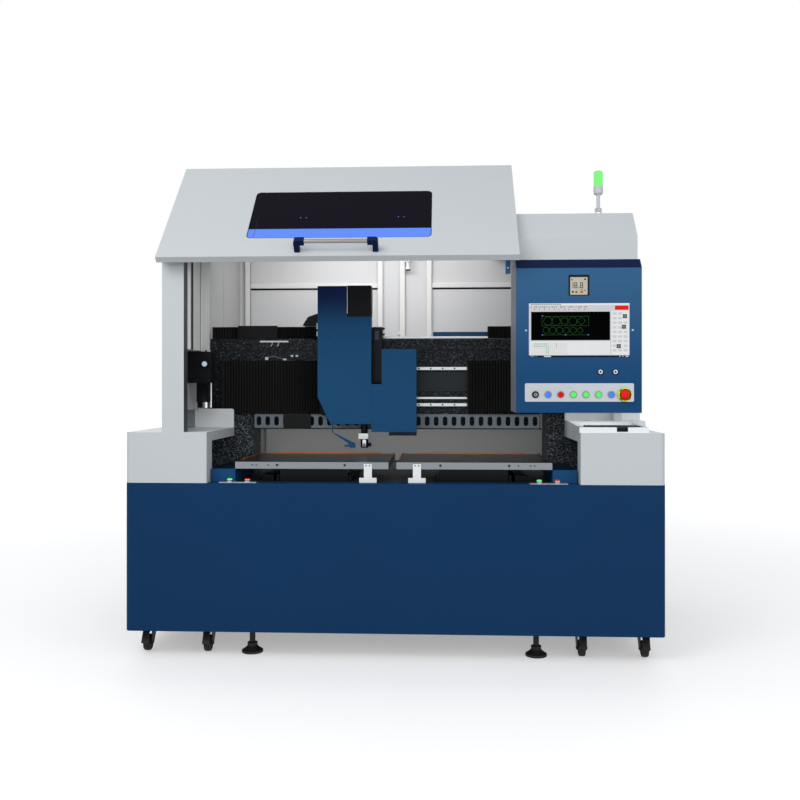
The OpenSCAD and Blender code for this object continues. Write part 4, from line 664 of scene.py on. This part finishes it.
# %% Finish the rest of the solids
plain_finish = {
    "black_powder_coat": ["base_frame"],
    "black_plastic": ["monitor", "temperature_display", "key_switch"],
    "brushed_plate": ["button_plate"],
    "bellows_cloth": ["right_bellows"],
    "window_tint": ["hood_window"],
    "stop_red": ["estop_button"],
    "cast_black": [part + str(i) for part in ("levelling_foot_", "caster_fork_")
                   for i in range(1, 5)],
    "black_rubber": ["caster_wheel_%d" % i for i in range(1, 5)],
}
for name, solids in plain_finish.items():
    for solid in solids:
        nodes[solid].data.materials.clear()
        nodes[solid].data.materials.append(finish[name])
print("plain solids finished:", sum(len(v) for v in plain_finish.values()))

# %% [markdown]
# ## The left bellows
# The left bellows is sewn to the gantry's end on one side and to the carriage on the other.
# Its mesh is copied in the bellows cloth and stands in for the solid.

# %% Copy the left bellows in its cloth
cloth = add_object("left_bellows_cloth", nodes["left_bellows"].data.copy())
cloth.data.name = cloth.name
cloth.data.materials.clear()
cloth.data.materials.append(finish["bellows_cloth"])
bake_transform(cloth)
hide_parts("left_bellows")

# %% [markdown]
# ## A kit for small parts
# Turned parts such as lenses, rings, screws and knobs are made as a lathe makes them: a profile
# is spun round an axis. Flat parts are cut from plate as a polygon and given a thickness. Both
# helpers add to one mesh, so that a row of screws is a single piece. Their measures are in mm,
# from a corner that a solid's box gives.

# %% Turned and flat parts
RIGHT, BACK, UP, FRONT, DOWN = (1, 0, 0), (0, 1, 0), (0, 0, 1), (0, -1, 0), (0, 0, -1)


def off(point, x, y, z):
    """A point moved by distances in mm."""
    return Vector(point) + Vector((x, y, z)) * MM


def turned(bm, profile, centre, axis=FRONT, sides=32, index=0):
    """Spins a profile of (radius, height) pairs in mm round an axis that starts at the centre."""
    turn = Vector(axis).to_track_quat("Z", "Y").to_matrix()
    rings = []
    for radius, height in profile:
        if radius < 1e-6:
            rings.append([bm.verts.new(Vector(centre) + turn @ Vector((0, 0, height * MM)))])
        else:
            rings.append([bm.verts.new(Vector(centre) + turn @ Vector((
                radius * MM * math.cos(2 * math.pi * k / sides),
                radius * MM * math.sin(2 * math.pi * k / sides), height * MM)))
                for k in range(sides)])
    for lower, upper in zip(rings, rings[1:]):
        for k in range(sides):
            n = (k + 1) % sides
            corners = [lower[k % len(lower)], lower[n % len(lower)],
                       upper[n % len(upper)], upper[k % len(upper)]]
            unique = list(dict.fromkeys(corners))
            if len(unique) > 2:
                bm.faces.new(unique).material_index = index


def frustum(bm, lower, upper, index=0):
    """A closed block between two outlines with the same number of points."""
    foot, head = [[bm.verts.new(p) for p in outline] for outline in (lower, upper)]
    for ring in (foot[::-1], head):
        bm.faces.new(ring).material_index = index
    for k in range(len(foot)):
        n = (k + 1) % len(foot)
        bm.faces.new([foot[k], foot[n], head[n], head[k]]).material_index = index


def plate(bm, outline, origin, thick, index=0, right=RIGHT, up=UP):
    """A flat part: an outline in mm, laid out along two directions and given a thickness."""
    right, up = Vector(right), Vector(up)
    lift = right.cross(up).normalized() * (thick * MM)
    base = [Vector(origin) + right * (x * MM) + up * (y * MM) for x, y in outline]
    frustum(bm, base, [p + lift for p in base], index)


def rounded(width, height, radius, x=0.0, y=0.0, steps=5):
    """The outline in mm of a rectangle with round corners, from its lower left corner."""
    points = []
    for cx, cy, start in ((width - radius, radius, -90), (width - radius, height - radius, 0),
                          (radius, height - radius, 90), (radius, radius, 180)):
        for k in range(steps + 1):
            a = math.radians(start + 90 * k / steps)
            points.append((x + cx + radius * math.cos(a), y + cy + radius * math.sin(a)))
    return points


def wire(bm, path, radius, index=0, sides=10):
    """A round wire of a radius in mm along a list of points."""
    points = [Vector(p) for p in path]
    rings, side = [], None
    for k, p in enumerate(points):
        ahead = (points[min(k + 1, len(points) - 1)] - points[max(k - 1, 0)]).normalized()
        if side is None:
            side = ahead.orthogonal().normalized()
        side = (side - ahead * side.dot(ahead)).normalized()
        other = ahead.cross(side)
        rings.append([bm.verts.new(p + (side * math.cos(2 * math.pi * j / sides)
                                        + other * math.sin(2 * math.pi * j / sides)) * radius * MM)
                      for j in range(sides)])
    for lower, upper in zip(rings, rings[1:]):
        for j in range(sides):
            n = (j + 1) % sides
            bm.faces.new([lower[j], lower[n], upper[n], upper[j]]).material_index = index
    for end in (rings[0][::-1], rings[-1]):
        bm.faces.new(end).material_index = index


def make_piece(name, bm, carrier, finishes, stands_for=False, round_by=0.0):
    """Turns a mesh in the making into a piece on the solid that carries it, or in its place."""
    bmesh.ops.recalc_face_normals(bm, faces=bm.faces)
    thing = object_from(bm, name, finishes)
    if round_by:
        bevel = thing.modifiers.new("broken_edges", "BEVEL")
        bevel.width, bevel.segments, bevel.angle_limit = round_by * MM, 2, math.radians(40)
    settle(thing, carrier)
    smooth_faces(thing.data)
    if stands_for:
        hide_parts(carrier)


print("kit ready")

# %% [markdown]
# ## Screen
# The monitor sits behind the panel's cut-out, and a cutting program fills it: a toolbar, a
# black drawing area with nested parts outlined in green, a pane of buttons at the right and a
# table of layers below. Each block of the picture is a thin tile that glows, and each layer of
# tiles is 0.15 mm thick, which stays sharp from any distance and needs no image.

# %% The program on the screen
screen_low, screen_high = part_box("monitor")
wide = (screen_high.x - screen_low.x) / MM
tall = (screen_high.z - screen_low.z) / MM
tones = ["grey", "white", "black", "green", "dark", "red", "blue", "moss", "leaf"]
bm = bmesh.new()


def lit(outline, tone, layer):
    """A thin glowing tile on a layer."""
    plate(bm, outline, (screen_low.x, screen_low.y - layer * 0.15 * MM, screen_low.z), 0.15,
          tones.index(tone))


def tile(u0, v0, u1, v1, tone, layer):
    """A tile between two corners given as shares of the screen, from its upper left corner."""
    lit([(u * wide, (1 - v) * tall) for u, v in ((u0, v1), (u1, v1), (u1, v0), (u0, v0))],
        tone, layer)


def drawn(points, closed=True):
    """A green line through points given as shares of the screen."""
    loop = points + points[:1] if closed else points
    for ends in zip(loop, loop[1:]):
        a, b = [Vector((u * wide, (1 - v) * tall)) for u, v in ends]
        along = (b - a).normalized() * 0.6 / 2
        across = Vector((-along.y, along.x))
        corners = (a - across - along, b - across + along, b + across + along, a + across - along)
        lit([(p.x, p.y) for p in corners], "leaf", 3)


tile(0.0, 0.0, 1.0, 1.0, "grey", 1)
for block in ((0.0, 0.0, 1.0, 0.035, "white"), (0.0, 0.965, 1.0, 1.0, "dark"),
              (0.022, 0.155, 0.808, 0.685, "black"), (0.82, 0.14, 0.995, 0.955, "white"),
              (0.012, 0.705, 0.808, 0.95, "white"), (0.855, 0.045, 0.99, 0.125, "red")):
    tile(*block, 2)
for k in range(14):
    tile(0.02 + 0.022 * k, 0.012, 0.034 + 0.022 * k, 0.026, "dark", 3)
for k in range(34):
    u = 0.02 + 0.0165 * k + (0.012 if k % 6 > 3 else 0)
    tile(u, 0.058, u + 0.009, 0.078, ("blue", "dark", "grey", "green", "red")[k * 7 % 5], 2)
    if k % 3:
        tile(u, 0.105, u + 0.008, 0.12, "grey" if k % 2 else "dark", 2)
for u, width, tone in ((0.01, 0.012, "blue"), (0.03, 0.012, "grey"), (0.05, 0.012, "leaf"),
                       (0.07, 0.012, "blue"), (0.15, 0.07, "white"), (0.9, 0.01, "grey"),
                       (0.93, 0.01, "grey"), (0.96, 0.03, "grey")):
    tile(u, 0.972, u + width, 0.992, tone, 3)
for row in range(9):
    for column in range(3):
        if (row, column) not in ((0, 2), (1, 2), (3, 2), (7, 1)):
            u, v = 0.833 + 0.054 * column, 0.17 + 0.085 * row
            tile(u, v, u + 0.039, v + 0.045, "grey", 3)
for u, v in ((0.955, 0.242), (0.945, 0.438), (0.894, 0.796)):
    for du, dv in ((-0.021, -0.038), (0.001, -0.038), (-0.021, 0.002), (0.001, 0.002)):
        tile(u + du, v + dv, u + du + 0.02, v + dv + 0.036, "moss", 3)
for row in range(5):
    v = 0.735 + 0.042 * row
    tile(0.02, v, 0.8, v + 0.003, "grey", 3)
    for column in range(18):
        filled = row < 2 and (1 <= column <= 7 or column == 12) or row and column in (7, 8)
        u = 0.03 + 0.02 * column
        tile(u, v + 0.007, u + 0.01, v + 0.03, "green" if filled else "grey", 3)
drawn([(0.13, 0.24), (0.595, 0.24), (0.595, 0.415), (0.13, 0.415)])
drawn([(0.13, 0.585), (0.595, 0.585)], closed=False)
upper_row = ((24, 0.0), (20, 0.0), (4, math.pi / 4), (8, 0.4), (4, 0.0))
lower_row = ((6, 0.0), (24, 0.0), (8, 0.2), (5, 0.3), (6, 0.5), (4, 0.0))
for row, u, v, pitch, radius in ((upper_row, 0.19, 0.328, 0.083, 0.078),
                                 (lower_row, 0.17, 0.5, 0.068, 0.062)):
    for k, (count, turn) in enumerate(row):
        angles = [turn + 2 * math.pi * j / count for j in range(count)]
        drawn([(u + pitch * k + radius * math.cos(a) * tall / wide, v + radius * math.sin(a))
               for a in angles])
for u, v in ((0.135, 0.23), (0.135, 0.585), (0.365, 0.585), (0.592, 0.585)):
    tile(u - 0.006, v - 0.01, u + 0.006, v + 0.01, "blue", 4)
make_piece("screen_picture", bm, "monitor", ["screen_" + tone for tone in tones])
print("screen picture on a", round(wide), "by", round(tall), "mm screen")

# %% [markdown]
# ## Temperature display
# A small square instrument with a black bezel shows the chamber's temperature on a beige liquid
# crystal. Its figures are made of seven bars each, as on every such display.

# %% Seven-bar figures
low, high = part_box("temperature_display")
bm = bmesh.new()
plate(bm, rounded((high.x - low.x) / MM - 15, (high.z - low.z) / MM - 13, 2),
      (low.x + 7.5 * MM, low.y + 1.9 * MM, low.z + 3.5 * MM), 0.7)
bars = {"a": (0, 2, 1, 2), "b": (1, 1, 1, 2), "c": (1, 0, 1, 1), "d": (0, 0, 1, 0),
        "e": (0, 0, 0, 1), "f": (0, 1, 0, 2), "g": (0, 1, 1, 1)}


def mark(outline, index=1):
    """A thin tile on the display's glass."""
    plate(bm, outline, (low.x, low.y + 1.2 * MM, low.z), 0.3, index)


bar_w, bar_h, stroke = 11 * 0.85, 11, 2.8
for lit_bars, x in (("bc", 10), ("abcdefg", 27), ("abcdefg", 52)):
    for x0, z0, x1, z1 in [bars[bar] for bar in lit_bars]:
        mark(rounded((x1 - x0) * bar_w + stroke, (z1 - z0) * bar_h + stroke, 1.2,
                     x + x0 * bar_w - stroke / 2, 34 + z0 * bar_h - stroke / 2, 2))
mark(rounded(4, 4, 1.5, 43.5, 33))
for x, z, width, index in ((14, 12, 9, 1), (30, 12, 8, 1), (50, 12, 14, 2), (68, 19, 6, 3),
                           (54, 22, 8, 4), (68, 68, 8, 1), (12, 66, 5, 1)):
    mark(rounded(width, 7, 1.5, x, z), index)
make_piece("temperature_glass", bm, "temperature_display",
           ["lcd_beige", "black_plastic", "screen_red", "screen_blue", "screen_green"])
print("display shows 18.8")

# %% [markdown]
# ## Buttons, key switch and emergency stop
# The push-buttons are lit domes in a turned metal bezel. The dome is spun in three steps: a
# straight skirt, a rounded shoulder and a shallow crown. The key switch is a dark ring round a
# disc with a slot, and two round sockets with pale rings sit under the screen. The emergency
# stop is a plain red mushroom in its yellow guard. The buttons on the table ledge stand in a
# black skirt, with a pale ring under the coloured lens.

# %% Panel buttons, bezels and sockets
def measured(node):
    """A solid's low corner, its centre, and half its width in mm."""
    low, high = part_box(node)
    return low, (low + high) / 2, (high.x - low.x) / 2 / MM


bezels = bmesh.new()
for number, tone in enumerate(("blue", "red", "green", "green", "green", "blue"), 1):
    button = "panel_button_%d" % number
    low, centre, radius = measured(button)
    bm = bmesh.new()
    turned(bm, [(0, -34), (radius, -34), (radius, -3.2), (radius - 0.8, -1.6),
                (radius - 2.6, -0.8), (radius * 0.55, -0.25), (0, 0)],
           (centre.x, low.y, centre.z), FRONT, 40)
    make_piece(button + "_lens", bm, button, ["lens_" + tone], stands_for=True)
    bore = radius + 0.6
    turned(bezels, [(bore, 0), (radius + 3.4, 0), (radius + 3.2, 1.0), (radius + 1.8, 2.0),
                    (bore, 1.8), (bore, 0)], (centre.x, low.y + 6 * MM, centre.z), FRONT, 40)
low, centre, radius = measured("key_switch")
turned(bezels, [(13.2, -1.5), (15.5, -1.5), (15.3, 1.0), (14.2, 2.0), (13.2, 1.6), (13.2, -1.5)],
       (centre.x, low.y + 4.5 * MM, centre.z), FRONT, 40, 1)
turned(bezels, [(0, 0), (8.6, 0), (8.2, 1.4), (0, 1.6)], (centre.x, low.y + 0.3 * MM, centre.z),
       FRONT, 32, 2)
plate(bezels, rounded(2.2, 9, 0.8, -1.1, -4.5, 2), (centre.x, low.y - 1.2 * MM, centre.z), 0.3, 1)
for inset in (180, 115):
    socket = off((panel_high.x, panel_low.y, panel_low.z), -inset, -5.02, 180)
    for profile, sides, index in (
            ([(9.4, 0), (12.6, 0), (12.4, 1.0), (9.4, 1.2), (9.4, 0)], 40, 1),
            ([(4.6, 0), (9.4, 0), (9.0, 1.6), (5.0, 1.6), (4.6, 0)], 40, 3),
            ([(0, 0), (4.7, 0), (4.4, 0.4), (0, 0.5)], 24, 1)):
        turned(bezels, profile, socket, FRONT, sides, index)
make_piece("button_bezels", bezels, "button_plate",
           ["bezel_steel", "black_plastic", "satin_steel", "white_powder_coat"])
print("six lit buttons, their bezels and two sockets")

# %% Start and stop buttons on the table ledge
for side in ("left", "right"):
    for task, tone in (("start", "green"), ("stop", "red")):
        button = side + "_" + task + "_button"
        low, centre, radius = measured(button)
        height = (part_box(button)[1].z - low.z) / MM
        bm = bmesh.new()
        for profile, index in (
                ([(0, 0), (radius, 0), (radius, height - 7.5), (0, height - 7.5)], 1),
                ([(0, height - 7.6), (radius - 1, height - 7.6), (radius - 1, height - 5)], 2),
                ([(radius - 1, height - 5), (radius - 1, height - 2.4),
                  (radius - 3.5, height - 0.8), (radius * 0.4, height - 0.1), (0, height)], 0)):
            turned(bm, profile, (centre.x, centre.y, low.z), UP, 40, index)
        bmesh.ops.remove_doubles(bm, verts=bm.verts, dist=0.001 * MM)
        make_piece(button + "_lens", bm, button, ["lens_" + tone, "black_plastic", "lens_pale"],
                   stands_for=True)
print("four ledge buttons")

# %% [markdown]
# ## Signal lamp
# The lamp on the housing is one clear green lens, ribbed inside, on a pale plastic neck that
# folds down. The lens is spun with a rib every 6 mm.

# %% The lamp's lens and neck
low, centre, lens_r = measured("signal_lamp")
axis = (centre.x, centre.y, low.z)
whole = (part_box("signal_lamp")[1].z - low.z) / MM
bm = bmesh.new()
turned(bm, [(0, 16), (8.5, 16), (8.5, whole - 119), (10.5, whole - 117), (11.5, whole - 113),
            (lens_r - 4, whole - 111), (lens_r - 0.4, whole - 107), (lens_r, whole - 104),
            (lens_r, whole - 76), (lens_r - 1.6, whole - 75), (lens_r - 1.6, whole - 73.5),
            (0, whole - 73.5)], axis, UP, 40)
turned(bm, [(3.4, -8.4), (7.4, -8.4), (8.4, -7.4), (8.4, 7.4), (7.4, 8.4), (3.4, 8.4),
            (3.4, -8.4)], (axis[0], axis[1], low.z + 8.5 * MM), RIGHT, 32)
make_piece("lamp_neck", bm, "signal_lamp", ["pale_plastic"], stands_for=True)
bm = bmesh.new()
ribs = [(0, whole - 74), (lens_r - 1, whole - 74)]
for k in range(10):
    z = whole - 72.5 + 6.2 * k
    ribs += [(lens_r - 0.4, z), (lens_r - 0.4, z + 4.6), (lens_r - 1.0, z + 5.4)]
ribs += [(lens_r - 1.6, whole - 6), (lens_r - 4, whole - 2.4), (lens_r - 8, whole - 0.8),
         (0, whole)]
turned(bm, ribs, axis, UP, 48)
make_piece("lamp_lens", bm, "signal_lamp", ["lamp_green"])
print("signal lamp", round(whole), "mm tall")

# %% [markdown]
# ## Hood window
# The pane is tinted to stop stray laser light, so from outside it reads nearly black. A lamp
# bar behind its lower edge shines through as a bright blue band. Four small glowing dots above it
# are painted reflections of lamps in the pane. They are laid out in the hood's own slope, which
# the pane's box gives.

# %% Lights behind the window, and painted reflections on it
pane_low, pane_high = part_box("hood_window")
rise = pane_high - pane_low
tilt = math.atan2(rise.z, rise.y)
along = Vector((1, 0, 0))
up_slope = Vector((0, math.cos(tilt), math.sin(tilt)))
pane_w = rise.x / MM
pane_l = (rise.y / MM - 5 * math.sin(tilt)) / math.cos(tilt)
corner = Vector((pane_low.x, pane_low.y, pane_low.z + 5 * MM * math.cos(tilt)))
band = [(x, min(y, pane_l * 0.19)) for x, y in rounded(pane_w - 6, 140, 20, 3, 3)]
band = list(dict.fromkeys((round(x, 3), round(y, 3)) for x, y in band))
band = [p for k, p in enumerate(band)
        if not (p[1] == band[k - 1][1] == band[(k + 1) % len(band)][1])]
bm = bmesh.new()
plate(bm, band, corner, 0.3, 0, along, up_slope)
plate(bm, rounded(1.6, pane_l * 0.44, 0.7, 32, 4), corner, 0.4, 1, along, up_slope)
# Four glowing dots on the pane: painted reflections of lamps.
for share in (0.277, 0.308, 0.817, 0.8485):
    place = corner + along * (pane_w * share * MM) + up_slope * (pane_l * 0.43 * MM)
    turned(bm, [(0, 0), (2.6, 0), (2.4, 0.3), (0, 0.45)], place, along.cross(up_slope), 16)
make_piece("window_lights", bm, "hood_window", ["window_glow", "black_plastic"])
print("window", round(pane_w), "by", round(pane_l), "mm at", round(math.degrees(tilt), 1),
      "degrees")

# %% [markdown]
# ## Cutting nozzle
# The beam leaves through a turned barrel under a white clamp block. The barrel is dark, with a
# bright chrome strip down its front: a painted reflection that stands for the bright middle and
# dark sides of a polished barrel. A ribbed black hose brings the extraction down to it, and a
# knurled navy knob at its side locks the focus.

# %% Hose, clamp block, barrel and knob
low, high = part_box("cutting_nozzle")
nozzle = Vector((low.x + 23 * MM, (low.y + high.y) / 2, low.z + 44 * MM))
bm = bmesh.new()
plate(bm, rounded(49, 39, 4, -28.5, -19.5), nozzle, 27, 0, RIGHT, BACK)
hose = [(0, 27), (17, 27)]
for k in range(6):
    z = 27.5 + 8.2 * k
    hose += [(14, z), (18.5, z + 2.4), (18.5, z + 4.6), (14, z + 7.2)]
turned(bm, hose + [(0, 77)], nozzle, UP, 36, 1)
# A dark barrel with a chrome strip down its front: the dark sides and the strip are a painted
# reflection.
turned(bm, [(0, 0), (20, 0), (20, 3), (19.2, 4), (19.2, 38), (20, 39), (20, 42), (17, 43.8),
            (0, 43.8)], off(nozzle, 1, 0, 0), DOWN, 40, 4)
plate(bm, rounded(17, 37, 2), off(nozzle, -7.5, -17, -40), 4.5, 2)
knob = [(0, 0), (6, 0), (6, 4), (9.6, 5), (9.6, 8)]
for k in range(4):
    knob += [(10, 8.6 + 2 * k), (9.4, 9.6 + 2 * k)]
turned(bm, knob + [(9.8, 17), (8.6, 19), (0, 19.5)], off(nozzle, 15.4, 0, -28), RIGHT, 36, 3)
make_piece("nozzle_parts", bm, "cutting_nozzle",
           ["white_powder_coat", "gloss_black_plastic", "chrome", "dark_navy_powder_coat",
            "black_anodised"], stands_for=True, round_by=0.5)
print("nozzle made")

# %% [markdown]
# ## Screws and plugs
# Flat dark screws hold the head covers, and black plugs close the bolt holes of the guide rails.
# A pale cap screw with a dark hexagon holds the monitor at each side.

# %% Fasteners
head_low, head_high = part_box("cutting_head_cover")
for name, carrier, low, x, heights, radius in (
        ("cutting_cover_screws", "cutting_head_cover", head_low, 90, (440, 515, 586), 3.4),
        ("vision_cover_screws", "vision_head", eye_low, 92, (137, 187, 232), 3.0)):
    bm = bmesh.new()
    for z in heights:
        turned(bm, [(0, 0), (radius, 0), (radius - 0.2, 0.5), (0, 0.6)],
               off(low, x, 0.6, z), FRONT, 20)
    make_piece(name, bm, carrier, ["black_plastic"])

bm = bmesh.new()
for z in (rail_low.z + 8.5 * MM, rail_low.z + 191.5 * MM):
    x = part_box("x_carriage")[1].x + 12 * MM
    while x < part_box("right_bellows")[0].x - 4 * MM:
        turned(bm, [(0, 0), (4.3, 0), (4.3, 1.0), (3.9, 1.3), (0, 1.3)],
               (x, rail_low.y + 1.5 * MM, z), FRONT, 16)
        x += 60 * MM
make_piece("rail_plugs", bm, "gantry_rails", ["black_plastic"])

bm = bmesh.new()
for x in (screen_low.x - 13 * MM, screen_high.x + 13 * MM):
    place = (x, panel_low.y, (screen_low.z + screen_high.z) / 2)
    turned(bm, [(0, 0), (4, 0), (4, 1.12), (3.44, 1.6), (0, 1.6)], place, FRONT, 20)
    turned(bm, [(0, 1.5), (1.92, 1.5), (1.76, 1.72), (0, 1.7)], place, FRONT, 6, 1)
make_piece("panel_screws", bm, "control_panel", ["white_powder_coat", "black_plastic"])
print("screws and plugs in place")

# %% [markdown]
# ## Keyboard
# A short keyboard lies in the well of the console. It is a thin moulded tray with five rows of
# blank keycaps at a pitch of 17.4 mm; each cap is a small tapered block, narrower at its top, as
# the moulded ones are. The caps carry no letters.

# %% Tray and keycaps
well_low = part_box("right_pedestal")[0]
tray = Vector((well_low.x + 26 * MM, well_low.y + 60 * MM,
               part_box("left_pedestal")[1].z - 90 * MM))
pitch, cap = 17.4, 14.5
bm = bmesh.new()
plate(bm, rounded(254, 95, 5), tray, 17, 0, RIGHT, BACK)


def cap_outline(x0, y0, x1, y1, z):
    """The corners of a rectangle given in mm from the tray's corner."""
    return [off(tray, x, y, z) for x, y in ((x0, y0), (x1, y0), (x1, y1), (x0, y1))]


for row in range(5):
    for column in range(14):
        if row == 4 and 4 < column <= 8:
            continue
        x, y = 6 + pitch * column, 4 + pitch * row
        right = x + cap + (4 * pitch if (row, column) == (4, 4) else 0)
        frustum(bm, cap_outline(x, y, right, y + cap, 17),
                cap_outline(x + 2, y + 2.5, right - 2, y + cap - 1, 26), 1)
make_piece("keyboard", bm, "monitor", ["black_plastic", "key_plastic"], round_by=0.6)
print("keyboard with", 5 * 14 - 4, "keys")

# %% [markdown]
# ## Small fittings in the chamber
# A camera looks down from the rear wall, a bracket holds the hood's switch, and the beam carries
# a sensor bar with two wires and a few plugs. A thin dark strip under the beam's cap stands for
# the shadow of the cap's lip, and dark strips in the rear wall's slots deepen their shadow: both
# are painted shadow. The air unit has a gauge, whose face glows as painted light, and a row of
# push-in fittings, and a dark plate behind the unit stands for its shadow on the wall. They are
# turned or cut from plate like the other parts.

# %% Camera and bracket
fit_low, fit_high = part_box("chamber_fittings")
camera_top = Vector((fit_low.x + 17 * MM, rear_face - 42 * MM,
                     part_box("left_wall")[1].z - 252 * MM))
bm = bmesh.new()
turned(bm, [(0, 0), (17, 0), (17, 60), (15, 62), (11.5, 63), (11.5, 92), (15.5, 94), (15.5, 104),
            (0, 104)], camera_top, DOWN, 32, 0)
turned(bm, [(0, 104), (14.5, 104), (14, 109), (11, 110.5), (0, 110.5)], camera_top, DOWN, 32, 1)
plate(bm, rounded(24, 20, 2, -12, -25), (camera_top.x, rear_face, camera_top.z), 34)
bracket = Vector((fit_high.x - 6 * MM, wall_low.y, fit_low.z - 18 * MM))
plate(bm, rounded(20, 78, 2), off(bracket, 0, 31, 0), 3, 2)
plate(bm, rounded(31.5, 78, 2), off(bracket, 0, 28.5, 0), 6, 2, BACK)
turned(bm, [(0, 0), (3.4, 0), (3, 1.6), (0, 1.8)], off(bracket, 9, 28, 26), FRONT, 16)
make_piece("camera_and_bracket", bm, "chamber_fittings",
           ["white_powder_coat", "black_plastic", "blue_coat_painted_light_top"], stands_for=True)
print("camera at", [round(v, 3) for v in camera_top])

# %% Beam fittings
beam_low, beam_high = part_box("granite_gantry")
beam = Vector((beam_low.x, beam_low.y, beam_high.z))
bm = bmesh.new()
# A thin dark strip under the cap's lip stands for the lip's shadow: painted shadow.
plate(bm, rounded(1926, 6, 1), off(beam, 2, 8, -65), 1.2)
plate(bm, rounded(146, 8, 2), off(beam, 256, 0, -19), 2.5, 1)
for x in (310, 343):
    bends = [math.pi * k / 12 for k in range(13)]
    wire(bm, [off(beam, x + 9 * math.sin(a), -3.2, -12 - 13 * (1 - math.cos(a))) for a in bends],
         1.7, 1)
for x, z, width, height in ((282, -109, 16, 15), (375, -111, 16, 9), (413, -93, 13, 9),
                            (439, -93, 12, 9)):
    plate(bm, rounded(width, height, 2), off(beam, x, 8, z), 5, 1)
wire(bm, [off(beam, x, 5, z) for x, z in ((301, -97), (325, -89), (350, -97), (373, -105))], 1.6, 2)
rear = Vector((rear_low.x, rear_face, rear_high.z))
turned(bm, [(0, 0), (13, 0), (13, 4), (9, 6), (9, 12), (0, 13)], off(rear, 1127, 0, -690),
       FRONT, 24, 1)
plate(bm, rounded(285, 39, 1), off(beam, 1139, 130, 0), 12, 3)
# Dark strips laid in the rear wall's slots deepen their shadow: painted shadow.
for inset, length in ((240, 758), (1321, 800)):
    plate(bm, rounded(length, 11, 1), off(rear, inset, 0, -429.5), 1.0)
make_piece("beam_fittings", bm, "gantry_rails",
           ["black_rubber", "white_powder_coat", "satin_steel", "blue_coat_painted_light_top"])
print("beam fittings measured from", [round(v, 3) for v in beam])

# %% Air unit fittings
bm = bmesh.new()
air = Vector((air_low.x, air_low.y, air_high.z))
gauge = off(air, 87, 0, -59)
turned(bm, [(0, 0), (16.5, 0), (16.5, 1.4), (13.5, 1.8), (13.2, 0.9), (0, 0.9)], gauge)
# The gauge's face glows: painted light.
turned(bm, [(0, 0.9), (12, 0.9), (9, 2.6), (0, 3.4)], gauge, index=1)
for k, (x, pin) in enumerate(((8, 2.8), (30, 2.8), (50, 2.8), (72, 6), (88, 8), (106, 6))):
    turned(bm, [(0, 0), (4, 0), (4, pin - 1), (3, pin), (0, pin)],
           off(air, x, 24, 0), UP, 16, 2 if k % 2 else 0)
# A dark plate behind the unit stands for the shadow on the wall: painted shadow.
plate(bm, rounded(80, 122, 3), (air_low.x + 28 * MM, air_high.y, air_low.z), 3)
make_piece("air_unit_fittings", bm, "air_unit", ["black_plastic", "gauge_face_painted_glow", "pale_plastic"])
print("air unit gauge at", [round(v, 3) for v in gauge])

# %% Fittings on the heads and the carriage
clips = Vector((head_low.x, head_high.y, head_low.z))
bm = bmesh.new()
for z, height in ((552, 24), (588, 30)):
    plate(bm, rounded(9, height, 2), off(clips, -9, -20, z), 14)
plate(bm, rounded(5, 84, 1), off(clips, -4.6, -22, 544), 8, 1)
make_piece("cable_clips", bm, "cutting_head_cover", ["white_powder_coat", "black_plastic"])
optics_low, optics_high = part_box("cutting_optics")
trim = Vector((head_low.x, optics_low.y, optics_high.z))
bm = bmesh.new()
plate(bm, rounded(2.6, 134, 0.8), off(trim, 145.8, 0, -138), 0.8)
for x in (196, 238, 256):
    plate(bm, rounded(10, 5, 1.5), off(trim, x, 6, -147), 7, 1)
make_piece("optics_trim", bm, "cutting_optics", ["white_powder_coat", "black_plastic"])
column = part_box("x_carriage")[0]
bm = bmesh.new()
plate(bm, rounded(20, 43, 1.5), off(column, 380, 0, 352), 1.2)
for z in (379, 408):
    turned(bm, [(0, 0), (4, 0), (4, 3), (5.5, 4), (5.5, 9), (4.5, 10), (0, 10)],
           off(column, 417.8, 30, z), RIGHT, 20, 1)
make_piece("column_trim", bm, "x_carriage", ["dark_anodised", "black_plastic"])
print("cable clips, optics trim and column trim")

# %% Holes and bracket caps on the tables; the holes are flat dark discs of painted shade
for table, way in (("left_table", 1), ("right_table", -1)):
    low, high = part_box(table)
    outer = Vector((low.x if way == 1 else high.x, low.y, high.z - 36 * MM))
    bracket = off(outer, way * ((high.x - low.x) / MM - 92), 0, 0)
    bm = bmesh.new()
    # Flat black discs stand for the holes: their dark is painted shade.
    for x, radius in ((78, 3.4), (96, 3.4), (150, 3.4), (191, 5.6), (497, 5.6)):
        turned(bm, [(0, 0), (radius, 0), (radius, 0.3), (0, 0.35)], off(outer, way * x, 6, 17),
               FRONT, 20)
    plate(bm, rounded(36, 17, 2, -18, 7.5), bracket, 1.2, 1)
    # The bracket's holes are flat black discs too: painted shade.
    for x in (-8, 8):
        turned(bm, [(0, 0), (3.2, 0), (3.2, 0.3), (0, 0.35)], off(bracket, x, -1.2, 16.5),
               FRONT, 16)
    make_piece(table + "_holes", bm, table, ["black_plastic", "white_powder_coat"])
print("table holes and bracket caps")
